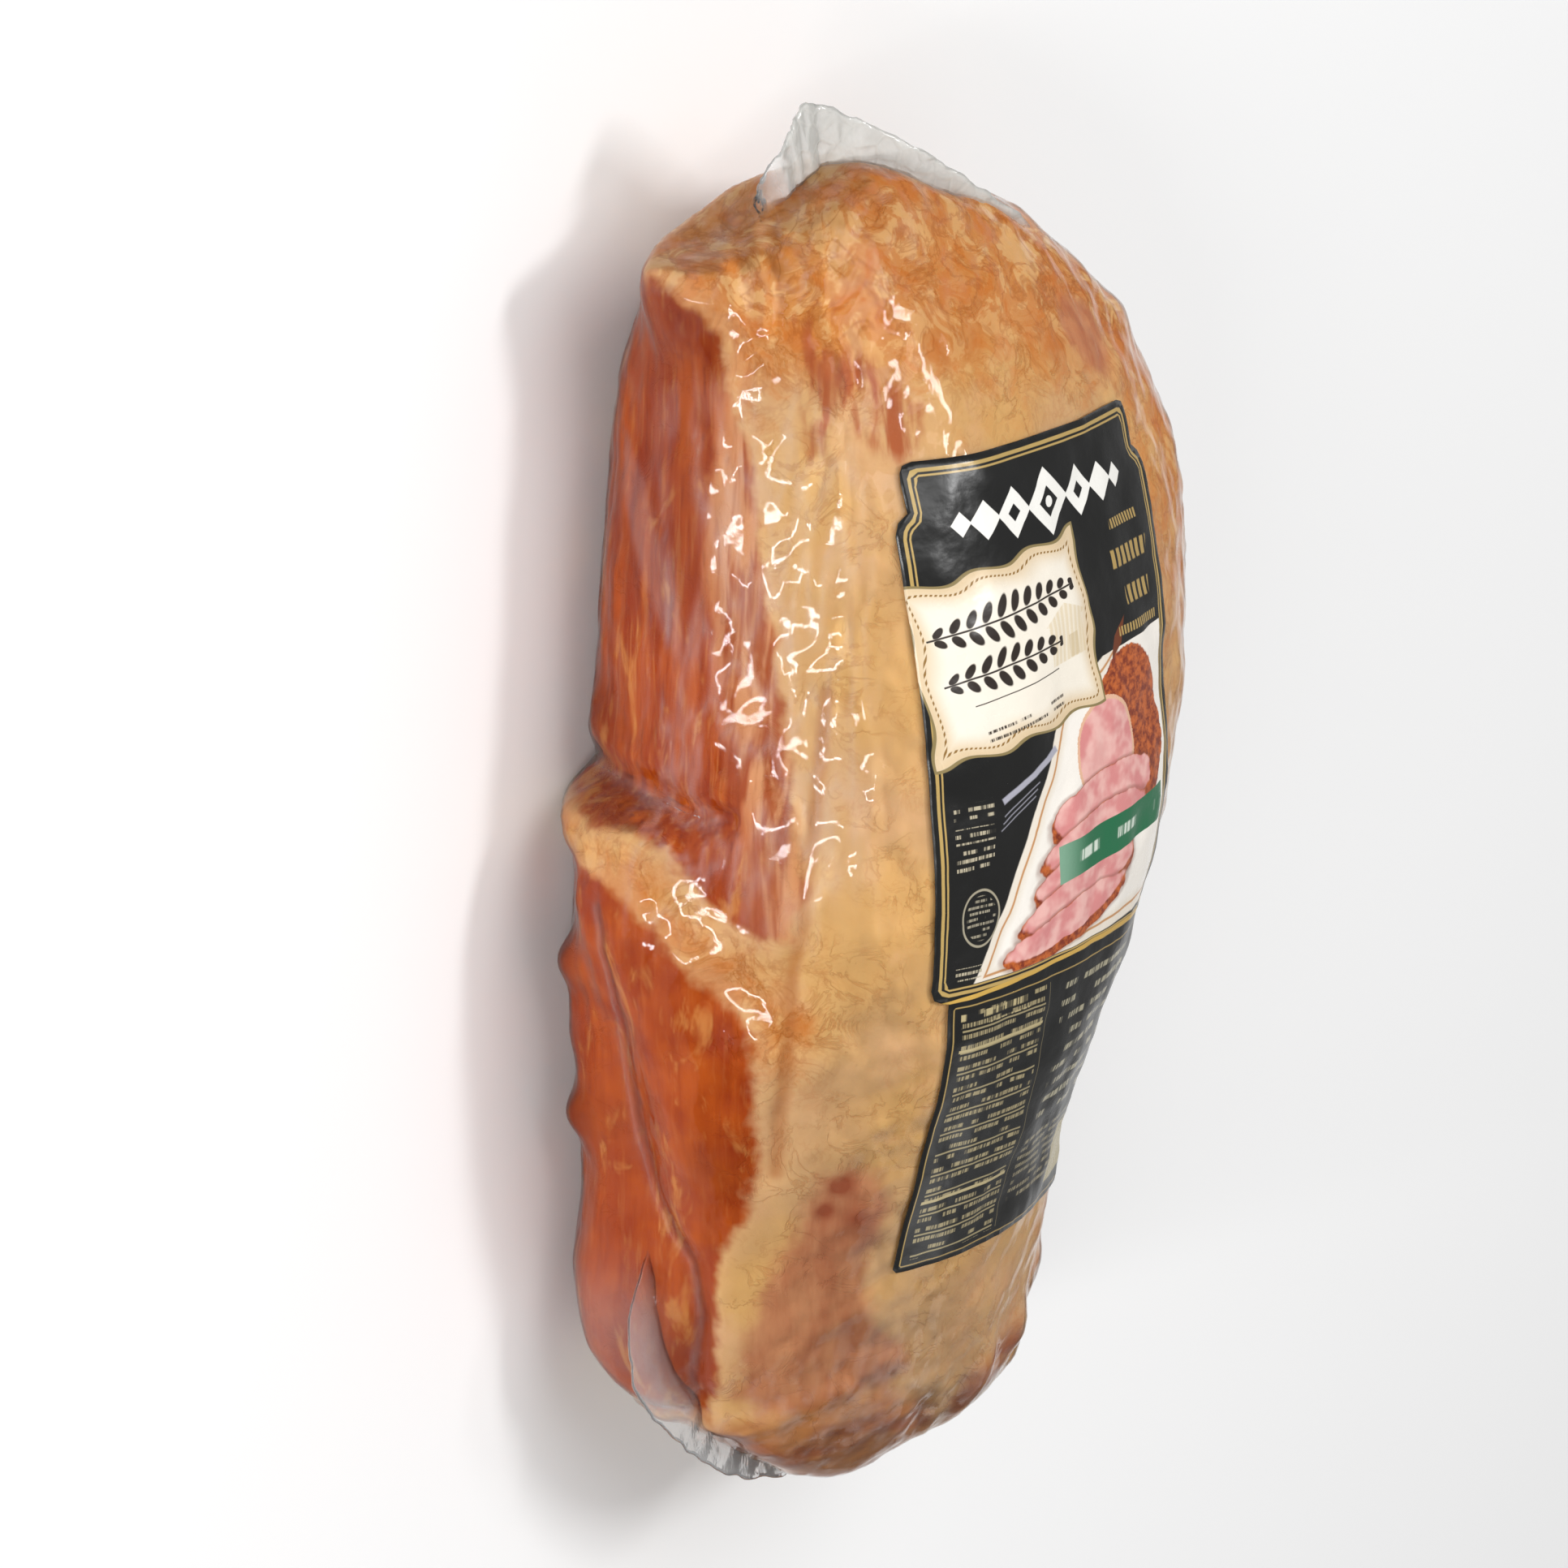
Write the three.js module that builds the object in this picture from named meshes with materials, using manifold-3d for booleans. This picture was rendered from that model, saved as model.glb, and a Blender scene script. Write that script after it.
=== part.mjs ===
// A boneless smoked ham in its vacuum bag: one piece of meat, the clear film bag shrunk on to it,
// and the printed label stuck on the bag.
// Millimetres, +Z up. The ham lies on its flat back with the label up. +Y runs from the narrow shank
// end to the broad butt end, and +X is the right-hand side of someone who reads the label.
import * as THREE from "three";
import { mergeVertices } from "three/addons/utils/BufferGeometryUtils.js";
import Module from "manifold-3d";

// Overall sizes of the meat.
const hamLength = 332;
const hamWidth = 190;
const hamHeight = 115;

// The bag. Its wall is drawn thicker than real film, which is about a tenth of a millimetre.
const filmWall = 0.5;
const meatToFilm = 0.4; // clearance between the meat and the film
const mouthGap = 0.4; // clearance between the bag's two walls at its mouth
const buttTailLength = 34; // longest reach of the film beyond the butt end
const shankTailLength = 14; // longest reach of the film beyond the shank end

// The label.
const labelWidth = 98;
const labelFrontLength = 134; // the wide part with the ornament
const labelPanelLength = 76; // the narrower information panel below it
const labelPanelInset = 5; // how far each side of the panel steps in
const labelCornerStep = 4; // the stepped corners of the wide part
const labelWall = 0.3;
const filmToLabel = 0.3; // clearance between the film and the label
const labelMiddle = 6; // place of the label's centre line, right of the ham's middle
const labelTopEdge = 110; // place of its top edge, from the ham's middle towards the butt end

// How finely the surfaces are divided.
const ringCount = 36;
const pointsPerRing = 40;

const degrees = Math.PI / 180;

// The underside of the bag lies on the plane Z = 0, with the meat inside its wall.
const meatFloor = filmWall + meatToFilm;

// ---- Shape of the meat ------------------------------------------------------------------------

// Cross-sections from the shank end (0) to the butt end (1). Middle, left and right are shares of
// the width. Waist, top and back are shares of the height: the waist is the level where a section is
// widest, and top and back are how far it reaches above and below that level.
const sections = [
  { at: 0.0, middle: 0.02, left: 0.23, right: 0.3, waist: 0.38, top: 0.35, back: 0.36 },
  { at: 0.12, middle: -0.03, left: 0.3, right: 0.36, waist: 0.39, top: 0.4, back: 0.42 },
  { at: 0.25, middle: -0.04, left: 0.34, right: 0.36, waist: 0.41, top: 0.47, back: 0.44 },
  { at: 0.38, middle: -0.02, left: 0.39, right: 0.41, waist: 0.42, top: 0.56, back: 0.46 },
  { at: 0.5, middle: 0.0, left: 0.42, right: 0.51, waist: 0.42, top: 0.59, back: 0.46 },
  { at: 0.65, middle: 0.0, left: 0.35, right: 0.58, waist: 0.42, top: 0.57, back: 0.46 },
  { at: 0.8, middle: 0.0, left: 0.335, right: 0.57, waist: 0.43, top: 0.49, back: 0.46 },
  { at: 0.92, middle: 0.0, left: 0.35, right: 0.46, waist: 0.44, top: 0.41, back: 0.44 },
  { at: 1.0, middle: 0.0, left: 0.4, right: 0.36, waist: 0.44, top: 0.36, back: 0.4 },
];
const sectionCurve = new THREE.CubicInterpolant(
  sections.map((s) => s.at),
  sections.flatMap((s) => [s.middle, s.left, s.right, s.waist, s.top, s.back]),
  6,
);

// Squareness of the outlines: 2 is an ellipse, and higher numbers have fuller corners.
const topLeftSquareness = 2.0;
const topRightSquareness = 2.4;
const backSquareness = 2.6;
const shankEndSquareness = 8.0;
const buttEndSquareness = 4.0;

// Swellings of the muscles. at is the share of the length, and angle is round the section in
// degrees, from the right-hand side (0) over the top (90) to the left-hand side (180).
const lobes = [
  { at: 0.48, angle: 192, along: 0.08, round: 16, height: 6 },
  { at: 0.33, angle: 170, along: 0.13, round: 14, height: 4 },
  { at: 0.95, angle: 184, along: 0.035, round: 11, height: 9 },
];

// Creases between the muscles. Each is a line of places, given as share of the length and angle.
const creases = [
  { depth: 8, width: 13, line: [[0.6, 205], [0.575, 188], [0.53, 172], [0.46, 158]] },
  { depth: 6, width: 11, line: [[0.48, 207], [0.42, 196], [0.32, 188], [0.2, 184]] },
];
const bridging = 0.4; // share of a crease's depth that the film follows

function endTaper(at) {
  const squareness = at < 0.5 ? shankEndSquareness : buttEndSquareness;
  return Math.pow(1 - Math.pow(Math.abs(2 * at - 1), squareness), 1 / squareness);
}

function swelling(at, angle) {
  return lobes.reduce((sum, lobe) => {
    const along = (at - lobe.at) / lobe.along;
    const round = (angle - lobe.angle) / lobe.round;
    return sum + lobe.height * Math.exp(-along * along - round * round);
  }, 0);
}

// The surface unrolled to a flat sheet in millimetres, for distances from the creases.
function unrolled([at, angle]) {
  return new THREE.Vector3(at * hamLength, (angle * degrees * hamWidth) / 2, 0);
}

function creaseDepth(at, angle) {
  const place = unrolled([at, angle]);
  const nearest = new THREE.Vector3();
  let deepest = 0;
  for (const crease of creases) {
    for (let i = 1; i < crease.line.length; i += 1) {
      const piece = new THREE.Line3(unrolled(crease.line[i - 1]), unrolled(crease.line[i]));
      const away = piece.closestPointToPoint(place, true, nearest).distanceTo(place) / crease.width;
      deepest = Math.max(deepest, crease.depth * Math.exp(-away * away));
    }
  }
  return deepest;
}

// A point of the surface. The film's shape follows the creases by less than their full depth.
function surfacePoint(at, angle, followed, draw = endTaper(at)) {
  const [middle, left, right, waist, top, back] = sectionCurve.evaluate(at);
  const across = Math.cos(angle * degrees);
  const up = Math.sin(angle * degrees);
  const halfWidth = (across > 0 ? right : left) * hamWidth;
  const halfHeight = (up > 0 ? top : back) * hamHeight;
  const topSquareness = THREE.MathUtils.lerp(topLeftSquareness, topRightSquareness, (across + 1) / 2);
  const squareness = up > 0 ? topSquareness : backSquareness;
  const outline = Math.pow(
    Math.pow(Math.abs(across) / halfWidth, squareness) + Math.pow(Math.abs(up) / halfHeight, squareness),
    -1 / squareness,
  );
  const radius = (outline + swelling(at, angle) - followed * creaseDepth(at, angle)) * draw;
  return new THREE.Vector3(
    middle * hamWidth + radius * across,
    (at - 0.5) * hamLength,
    Math.max(meatFloor, waist * hamHeight + radius * up),
  );
}

// Places for rings that are evenly spaced over the surface. Each is a share of the length, with how
// much the end draws the ring in. Near an end the draw sets the place, because the end faces are flat.
function ringPlaces() {
  const reach = (draw, squareness) => (1 - Math.pow(1 - Math.pow(draw, squareness), 1 / squareness)) / 2;
  const draws = Array.from({ length: 90 }, (_, i) => i / 100);
  const first = reach(0.9, shankEndSquareness);
  const last = 1 - reach(0.9, buttEndSquareness);
  const between = Array.from({ length: 401 }, (_, i) => THREE.MathUtils.lerp(first, last, i / 400));
  const profile = [
    ...draws.map((draw) => [reach(draw, shankEndSquareness), draw]),
    ...between.map((at) => [at, endTaper(at)]),
    ...draws.reverse().map((draw) => [1 - reach(draw, buttEndSquareness), draw]),
  ];
  let travelled = 0;
  const distances = profile.map(([at, draw], i) => {
    const [atBefore, drawBefore] = profile[Math.max(i - 1, 0)];
    travelled += Math.hypot((at - atBefore) * hamLength, ((draw - drawBefore) * hamWidth) / 2);
    return travelled;
  });
  return Array.from({ length: ringCount }, (_, i) => {
    return profile[distances.findIndex((d) => d >= ((i + 1) * travelled) / (ringCount + 1))];
  });
}

// A closed surface of rings between two end points.
function closedSurface(followed) {
  const rings = ringPlaces().map(([at, draw]) =>
    Array.from({ length: pointsPerRing }, (_, j) => {
      return surfacePoint(at, (j / pointsPerRing) * 360, followed, draw);
    }),
  );
  const points = [surfacePoint(0, 0, followed), ...rings.flat(), surfacePoint(1, 0, followed)];
  const index = [];
  const vertex = (ring, j) => 1 + ring * pointsPerRing + (j % pointsPerRing);
  for (let j = 0; j < pointsPerRing; j += 1) {
    index.push(0, vertex(0, j), vertex(0, j + 1));
    index.push(points.length - 1, vertex(ringCount - 1, j + 1), vertex(ringCount - 1, j));
    for (let ring = 0; ring + 1 < ringCount; ring += 1) {
      index.push(vertex(ring, j), vertex(ring + 1, j), vertex(ring, j + 1));
      index.push(vertex(ring, j + 1), vertex(ring + 1, j), vertex(ring + 1, j + 1));
    }
  }
  const geometry = new THREE.BufferGeometry().setFromPoints(points).setIndex(index);
  geometry.computeVertexNormals();
  return geometry;
}

// The same surface moved outwards, but no lower than a floor.
function movedOut(surface, distance, floor) {
  const moved = surface.clone();
  const { position, normal } = moved.attributes;
  const point = new THREE.Vector3();
  const outwards = new THREE.Vector3();
  for (let i = 0; i < position.count; i += 1) {
    outwards.fromBufferAttribute(normal, i);
    point.fromBufferAttribute(position, i).addScaledVector(outwards, distance);
    position.setXYZ(i, point.x, point.y, Math.max(floor, point.z));
  }
  return moved;
}

// ---- Solids -----------------------------------------------------------------------------------

const wasm = await Module();
wasm.setup();

function solidOf(geometry) {
  const bare = new THREE.BufferGeometry().setAttribute("position", geometry.attributes.position);
  if (geometry.index) bare.setIndex(geometry.index);
  const merged = mergeVertices(bare, 1e-3);
  return new wasm.Manifold(
    new wasm.Mesh({
      numProp: 3,
      vertProperties: merged.attributes.position.array,
      triVerts: new Uint32Array(merged.index.array),
    }),
  );
}

function geometryOf(solid) {
  const { vertProperties, triVerts } = solid.getMesh();
  const geometry = new THREE.BufferGeometry();
  geometry.setAttribute("position", new THREE.BufferAttribute(vertProperties, 3));
  geometry.setIndex(new THREE.BufferAttribute(triVerts, 1));
  return geometry;
}

// A sheet of even thickness between a root line and a free edge. span is the part of the two lines
// that it covers, and reach runs from 0 at the root to 1 at the free edge.
function sheet(root, edge, thickness, span = [0, 1], reach = [0, 1]) {
  const rootCurve = new THREE.CatmullRomCurve3(root);
  const edgeCurve = new THREE.CatmullRomCurve3(edge);
  const steps = 4 * (root.length - 1);
  const rows = 3;
  const middle = (i, j) => {
    const along = THREE.MathUtils.lerp(...span, i / steps);
    const out = THREE.MathUtils.lerp(...reach, j / rows);
    return rootCurve.getPoint(along).lerp(edgeCurve.getPoint(along), out);
  };
  const point = (i, j, side) => {
    const along = middle(Math.min(i + 1, steps), j).sub(middle(Math.max(i - 1, 0), j));
    const out = middle(i, Math.min(j + 1, rows)).sub(middle(i, Math.max(j - 1, 0)));
    return middle(i, j).addScaledVector(along.cross(out).normalize(), (side * thickness) / 2);
  };
  const points = [];
  const quads = (cells, corner) => {
    for (const [i, j] of cells) {
      const [a, b, c, d] = [corner(i, j), corner(i + 1, j), corner(i + 1, j + 1), corner(i, j + 1)];
      points.push(a, b, c, a, c, d);
    }
  };
  const grid = (n, m) => Array.from({ length: n * m }, (_, k) => [k % n, Math.floor(k / n)]);
  quads(grid(steps, rows), (i, j) => point(i, j, 1));
  quads(grid(steps, rows), (i, j) => point(steps - i, j, -1));
  quads(grid(steps, 1), (i, j) => point(i, 0, 2 * j - 1));
  quads(grid(steps, 1), (i, j) => point(steps - i, rows, 2 * j - 1));
  quads(grid(rows, 1), (i, j) => point(0, rows - i, 2 * j - 1));
  quads(grid(rows, 1), (i, j) => point(steps, i, 2 * j - 1));
  return solidOf(new THREE.BufferGeometry().setFromPoints(points));
}

// ---- The bag ----------------------------------------------------------------------------------

// A tail's free edge is a line of places: the share of the half width, how far it reaches beyond the
// end of the ham as a share of the tail's length, and the share of the height. Its root lies inside
// the ham, so that the sheet runs out through the wall of the bag.
function tailLines(places, end, length) {
  const edge = places.map(([x, reach, z]) => {
    return new THREE.Vector3((x * hamWidth) / 2, end * (hamLength / 2 + reach * length), z * hamHeight);
  });
  const root = edge.map(({ x, y, z }) => {
    return new THREE.Vector3(0.6 * x, end * Math.min(end * y, hamLength / 2 - length), z);
  });
  return end > 0 ? [root, edge] : [edge, root];
}

const buttTail = tailLines(
  [
    [-0.7, -0.6, 0.5],
    [-0.57, 0.3, 0.6],
    [-0.48, 0.95, 0.6],
    [-0.34, 0.85, 0.54],
    [-0.11, 0.6, 0.62],
    [0.11, 0.36, 0.54],
    [0.3, 0.12, 0.56],
    [0.5, -0.5, 0.5],
  ],
  1,
  buttTailLength,
);

const shankTail = tailLines(
  [
    [-0.72, -5, 0.26],
    [-0.9, -4, 0.3],
    [-0.94, -3, 0.32],
    [-0.86, -2.1, 0.33],
    [-0.71, -1, 0.36],
    [-0.58, -0.2, 0.38],
    [-0.32, 0.4, 0.42],
    [-0.05, 0.1, 0.42],
    [0.14, -2, 0.38],
  ],
  -1,
  shankTailLength,
);

const filmShape = closedSurface(bridging);

function bagSolid() {
  const outside = solidOf(movedOut(filmShape, meatToFilm + filmWall, 0));
  const inside = solidOf(movedOut(filmShape, meatToFilm, filmWall));
  const mouth = sheet(...buttTail, 2 * filmWall + mouthGap);
  const opening = sheet(...buttTail, mouthGap, [0.15, 0.7], [0, 1.1]);
  const seal = sheet(...shankTail, 2 * filmWall);
  return outside.add(mouth).add(seal).subtract(inside).subtract(opening);
}

// ---- The label --------------------------------------------------------------------------------

// Outline of the flat label, with its centre line on x = 0 and its top edge on y = 0.
function labelOutline() {
  const half = labelWidth / 2;
  const step = labelCornerStep;
  const panelHalf = half - labelPanelInset;
  const end = -labelFrontLength - labelPanelLength;
  const rightSide = new THREE.Path()
    .moveTo(0, 0)
    .lineTo(half - 2 * step, 0)
    .quadraticCurveTo(half - step, 0, half - step, -step)
    .lineTo(half - step, -3 * step)
    .quadraticCurveTo(half, -3 * step, half, -4 * step)
    .lineTo(half, -labelFrontLength + step)
    .quadraticCurveTo(half, -labelFrontLength, panelHalf, -labelFrontLength)
    .lineTo(panelHalf, end)
    .lineTo(0, end)
    .getPoints(3);
  const leftSide = rightSide.slice(1, -1).map((p) => new THREE.Vector2(-p.x, p.y));
  return [...rightSide, ...leftSide.reverse()].reverse();
}

// Where a point of the flat label lands, seen from above. The centre line runs straight along the
// ham, and from there the label wraps round each cross-section by its true width.
function landing({ x, y }) {
  const at = (labelTopEdge + y) / hamLength + 0.5;
  const stride = 0.5;
  let angle = 90;
  while (surfacePoint(at, angle, bridging).x < labelMiddle) angle -= stride;
  while (surfacePoint(at, angle, bridging).x > labelMiddle) angle += stride;
  let here = surfacePoint(at, angle, bridging);
  let left = Math.abs(x);
  while (left > 0) {
    const next = surfacePoint(at, angle - stride * Math.sign(x), bridging);
    const length = here.distanceTo(next);
    here.lerp(next, Math.min(1, left / length));
    left -= length;
    angle -= stride * Math.sign(x);
  }
  return new THREE.Vector2(here.x, here.y);
}

// The label is the layer just above the film, cut to the outline.
function labelSolid() {
  const lift = meatToFilm + filmWall + filmToLabel;
  const layer = solidOf(movedOut(filmShape, lift + labelWall, 0)).subtract(solidOf(movedOut(filmShape, lift, 0)));
  const outline = new THREE.Shape(labelOutline().map(landing));
  const cutter = new THREE.ExtrudeGeometry(outline, { depth: hamHeight, bevelEnabled: false });
  return solidOf(cutter.translate(0, 0, hamHeight / 2)).intersect(layer);
}

// ---- The whole object -------------------------------------------------------------------------

const wrappedHam = new THREE.Group();

function addPiece(name, geometry, material) {
  const mesh = new THREE.Mesh(geometry, new THREE.MeshStandardMaterial({ metalness: 0, ...material }));
  mesh.name = name;
  wrappedHam.add(mesh);
}

addPiece("smoked_ham", closedSurface(1), { color: 0xcf8f52, roughness: 0.4 });
addPiece("film_bag", geometryOf(bagSolid()), { color: 0xe8e8ea, roughness: 0.1 });
addPiece("label", geometryOf(labelSolid()), { color: 0x24231f, roughness: 0.35 });

// The origin is the middle of the bounding box, on the surface that the bag rests on.
const box = new THREE.Box3().setFromObject(wrappedHam);
const centre = box.getCenter(new THREE.Vector3());
wrappedHam.position.set(-centre.x, -centre.y, -box.min.z);

export default wrappedHam;
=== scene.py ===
# %% [markdown]
# # A boneless smoked ham in its bag
# The ham lies on its flat back with the label up, the butt end towards +Y. Three real things are
# made here: the meat, the clear bag that was drawn tight on it, and the printed label. The CAD
# bodies of all three are the fixed frame, so each new piece starts from one of them.

# %% Load the fixed frame
import math

import bpy
import numpy as np
from mathutils import Matrix, Vector, noise
from mathutils.bvhtree import BVHTree


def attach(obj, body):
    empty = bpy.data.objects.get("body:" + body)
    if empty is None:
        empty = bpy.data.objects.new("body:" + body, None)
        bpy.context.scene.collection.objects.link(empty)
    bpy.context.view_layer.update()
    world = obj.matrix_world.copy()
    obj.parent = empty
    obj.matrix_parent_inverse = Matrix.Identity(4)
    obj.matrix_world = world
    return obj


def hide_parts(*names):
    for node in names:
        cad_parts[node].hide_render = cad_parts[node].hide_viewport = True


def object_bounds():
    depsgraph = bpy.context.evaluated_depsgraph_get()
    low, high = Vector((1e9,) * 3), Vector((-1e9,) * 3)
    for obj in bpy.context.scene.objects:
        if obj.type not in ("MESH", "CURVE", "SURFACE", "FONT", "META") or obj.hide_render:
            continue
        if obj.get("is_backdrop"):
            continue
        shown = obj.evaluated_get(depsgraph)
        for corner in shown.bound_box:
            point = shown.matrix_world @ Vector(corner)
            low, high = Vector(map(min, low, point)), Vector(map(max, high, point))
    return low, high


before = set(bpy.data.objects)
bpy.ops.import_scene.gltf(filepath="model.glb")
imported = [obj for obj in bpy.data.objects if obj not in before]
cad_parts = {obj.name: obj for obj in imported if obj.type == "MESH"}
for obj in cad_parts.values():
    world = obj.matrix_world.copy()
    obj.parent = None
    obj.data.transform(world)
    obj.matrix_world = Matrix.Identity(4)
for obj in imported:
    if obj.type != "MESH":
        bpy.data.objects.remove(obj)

MM = 0.001
cad_low, cad_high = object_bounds()
bpy.ops.object.select_all(action="DESELECT")
print("frame", [round(v / MM, 1) for v in (*cad_low, *cad_high)], "mm")

# %% [markdown]
# ## Small helpers for meshes
# A mesh is read as an array of places in millimetres, pushed about, and written back. The same
# few steps serve all three pieces: read, write, find the outward directions, and average each
# point with its neighbours, which is what a smoothing brush does.

# %% Reading and writing a mesh
def begin(name, mesh):
    piece = bpy.data.objects.new(name, mesh)
    bpy.context.scene.collection.objects.link(piece)
    take_up(piece)
    return piece


def take_up(piece):
    bpy.ops.object.select_all(action="DESELECT")
    piece.select_set(True)
    bpy.context.view_layer.objects.active = piece


def modify(piece, kind, **settings):
    take_up(piece)
    modifier = piece.modifiers.new(kind.title(), kind)
    for setting, value in settings.items():
        setattr(modifier, setting, value)
    bpy.ops.object.modifier_apply(modifier=modifier.name)


def places(piece):
    flat = np.empty(len(piece.data.vertices) * 3)
    piece.data.vertices.foreach_get("co", flat)
    return flat.reshape(-1, 3) / MM


def put(piece, points):
    piece.data.vertices.foreach_set("co", (points * MM).ravel())
    piece.data.update()


def outward(piece):
    flat = np.empty(len(piece.data.vertices) * 3)
    piece.data.vertex_normals.foreach_get("vector", flat)
    return flat.reshape(-1, 3)


def round_off(piece):
    """Shades the faces as one round surface."""
    for face in piece.data.polygons:
        face.use_smooth = True


# %% Averaging with neighbours
def averaged(piece, values, times, share=0.5):
    pairs = np.empty(len(piece.data.edges) * 2, int)
    piece.data.edges.foreach_get("vertices", pairs)
    first, second = pairs.reshape(-1, 2).T
    count = len(piece.data.vertices)
    around = np.maximum(np.bincount(pairs, minlength=count), 1)
    columns = values.reshape(count, -1).T.copy()
    for _ in range(times):
        for column in columns:
            total = np.bincount(first, column[second], count)
            total += np.bincount(second, column[first], count)
            column += share * (total / around - column)
    return columns.T.reshape(values.shape)


def grain(points, size, octaves=1, seed=0.0):
    """Smooth lumps from about -1 to 1, size millimetres across (one size, or one for each axis)."""
    scaled = points / np.array(size, float) + seed
    return np.array([noise.fractal(p, 1.0, 2.0, octaves) for p in scaled])


def soften(values, low, high):
    """0 below low, 1 above high and an S curve between them."""
    share = np.clip((values - low) / (high - low), 0, 1)
    return share * share * (3 - 2 * share)


def keep(piece, name, values):
    """Stores one number for each point, for the materials to read."""
    layer = piece.data.attributes.new(name, "FLOAT", "POINT")
    layer.data.foreach_set("value", np.asarray(values, np.float32))


# %% [markdown]
# ## Finding a place on the meat
# Muscles and seams are drawn on the surface as lines of places: how far along the ham in
# millimetres, and how many degrees round it, from 0 on the right through 90 on top and 180 on
# the left to 270 underneath. Unrolled, that is a flat map, so a plain distance to an outline
# tells how deep inside a muscle a point lies.

# %% The map of the surface
PER_DEGREE = 1.2  # mm of surface for a degree round the ham


def chart(points):
    degrees = np.degrees(np.arctan2(points[:, 2] - 50, points[:, 0])) % 360
    return np.stack([points[:, 1], degrees * PER_DEGREE], 1)


def laid(line):
    return np.array(line, float) * (1, PER_DEGREE)


def from_line(spots, line, closed=False):
    """Distance in mm from each spot to a line of places."""
    corners = laid(line)
    ends = np.roll(corners, -1, 0) if closed else corners[1:]
    nearest = np.full(len(spots), 1e9)
    for a, b in zip(corners, ends):
        run = b - a
        share = np.clip((spots - a) @ run / max(run @ run, 1e-9), 0, 1)
        gap = np.linalg.norm(spots - a - share[:, None] * run, axis=1)
        nearest = np.minimum(nearest, gap)
    return nearest


def inside(spots, outline):
    """How deep each spot is inside an outline, in mm; negative outside it."""
    corners = laid(outline)
    within = np.zeros(len(spots), bool)
    for (ax, ay), (bx, by) in zip(corners, np.roll(corners, -1, 0)):
        if ay != by:
            crosses = (ay > spots[:, 1]) != (by > spots[:, 1])
            within ^= crosses & (spots[:, 0] < (bx - ax) * (spots[:, 1] - ay) / (by - ay) + ax)
    return np.where(within, 1, -1) * from_line(spots, outline, closed=True)


def bump(spots, along, degrees, across, size=1.0):
    """A round swelling of 1 at a place, fading over a number of mm, the short way round."""
    run, round_it = np.abs(spots - laid([(along, degrees)])[0]).T
    round_it = np.minimum(round_it, 360 * PER_DEGREE - round_it)
    return size * np.exp(-(run ** 2 + round_it ** 2) / across ** 2)


# %% [markdown]
# ## The muscles and seams
# The meat is a leg with the bone out: muscles are darker where the smoke reached bare lean, and
# pale where fat covers them. Each outline below is one bare muscle. The long fold on the left
# is where the bone was taken out and the leg was tied shut.

# %% Outlines of the lean
UPPER_MUSCLE = [
    (137, 212), (138, 200), (136, 188), (132, 179), (127, 176), (118, 174), (106, 172),
    (99, 168), (84, 166), (68, 165), (52, 162), (37, 160), (21, 158), (6, 156), (-6, 155),
    (-19, 157), (-20, 162), (-17, 167), (-12, 171), (-6, 175), (-1, 180), (2, 188), (2, 200),
    (4, 225), (20, 250), (40, 268), (80, 272), (110, 255), (128, 232),
]
LOWER_MUSCLE = [
    (-10, 212), (-8, 200), (-8, 189), (-15, 183), (-19, 179), (-28, 174), (-34, 169),
    (-39, 165), (-46, 163), (-54, 162), (-77, 162), (-94, 166), (-109, 171), (-116, 173),
    (-129, 173), (-142, 175), (-151, 178), (-154, 186), (-150, 215), (-130, 235), (-90, 250),
    (-50, 245), (-25, 232),
]
UNDER_MUSCLE = [
    (112, 268), (122, 285), (100, 312), (60, 324), (0, 330), (-60, 325), (-120, 318),
    (-150, 300), (-156, 262), (-136, 246), (-92, 262), (-45, 258), (-8, 246), (12, 262),
    (45, 282), (85, 284),
]
SHANK_WINDOW = [
    (-79, 147), (-84, 142), (-91, 140), (-101, 141), (-108, 145), (-118, 144), (-129, 141),
    (-138, 135), (-147, 130), (-149, 142), (-150, 155), (-150, 168), (-145, 173), (-131, 168),
    (-115, 164), (-103, 159), (-91, 155), (-82, 152),
]
SHANK_END = [
    (-156, 200), (-155, 184), (-151, 168), (-149, 152), (-152, 138), (-160, 122), (-170, 112),
    (-190, 105), (-190, 215), (-165, 215),
]
SHANK_NUB = [
    (-152, 64), (-153, 80), (-158, 96), (-166, 104), (-178, 92), (-178, 55), (-160, 45),
]
SMALL_PATCH = [
    (123, 53), (120, 44), (113, 41), (105, 43), (103, 50), (108, 58), (114, 61), (121, 61),
]
STREAKS_LEFT = [
    (137, 158), (134, 154), (122, 152), (107, 152), (95, 154), (98, 157), (117, 159), (130, 160),
]
STREAKS_RIGHT = [
    (124, 151), (121, 144), (115, 137), (109, 132), (101, 132), (96, 137), (99, 143),
    (105, 148), (111, 152), (118, 153),
]
VEILED_MUSCLE = [
    (114, 174), (99, 166), (68, 162), (52, 159), (21, 155), (-6, 154), (-21, 156), (-20, 162),
    (3, 164), (20, 168), (47, 173), (70, 177), (90, 178),
]
LEAN = [UPPER_MUSCLE, LOWER_MUSCLE, UNDER_MUSCLE]
print(len(LEAN), "bare muscles,", sum(map(len, LEAN)), "places")

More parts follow.
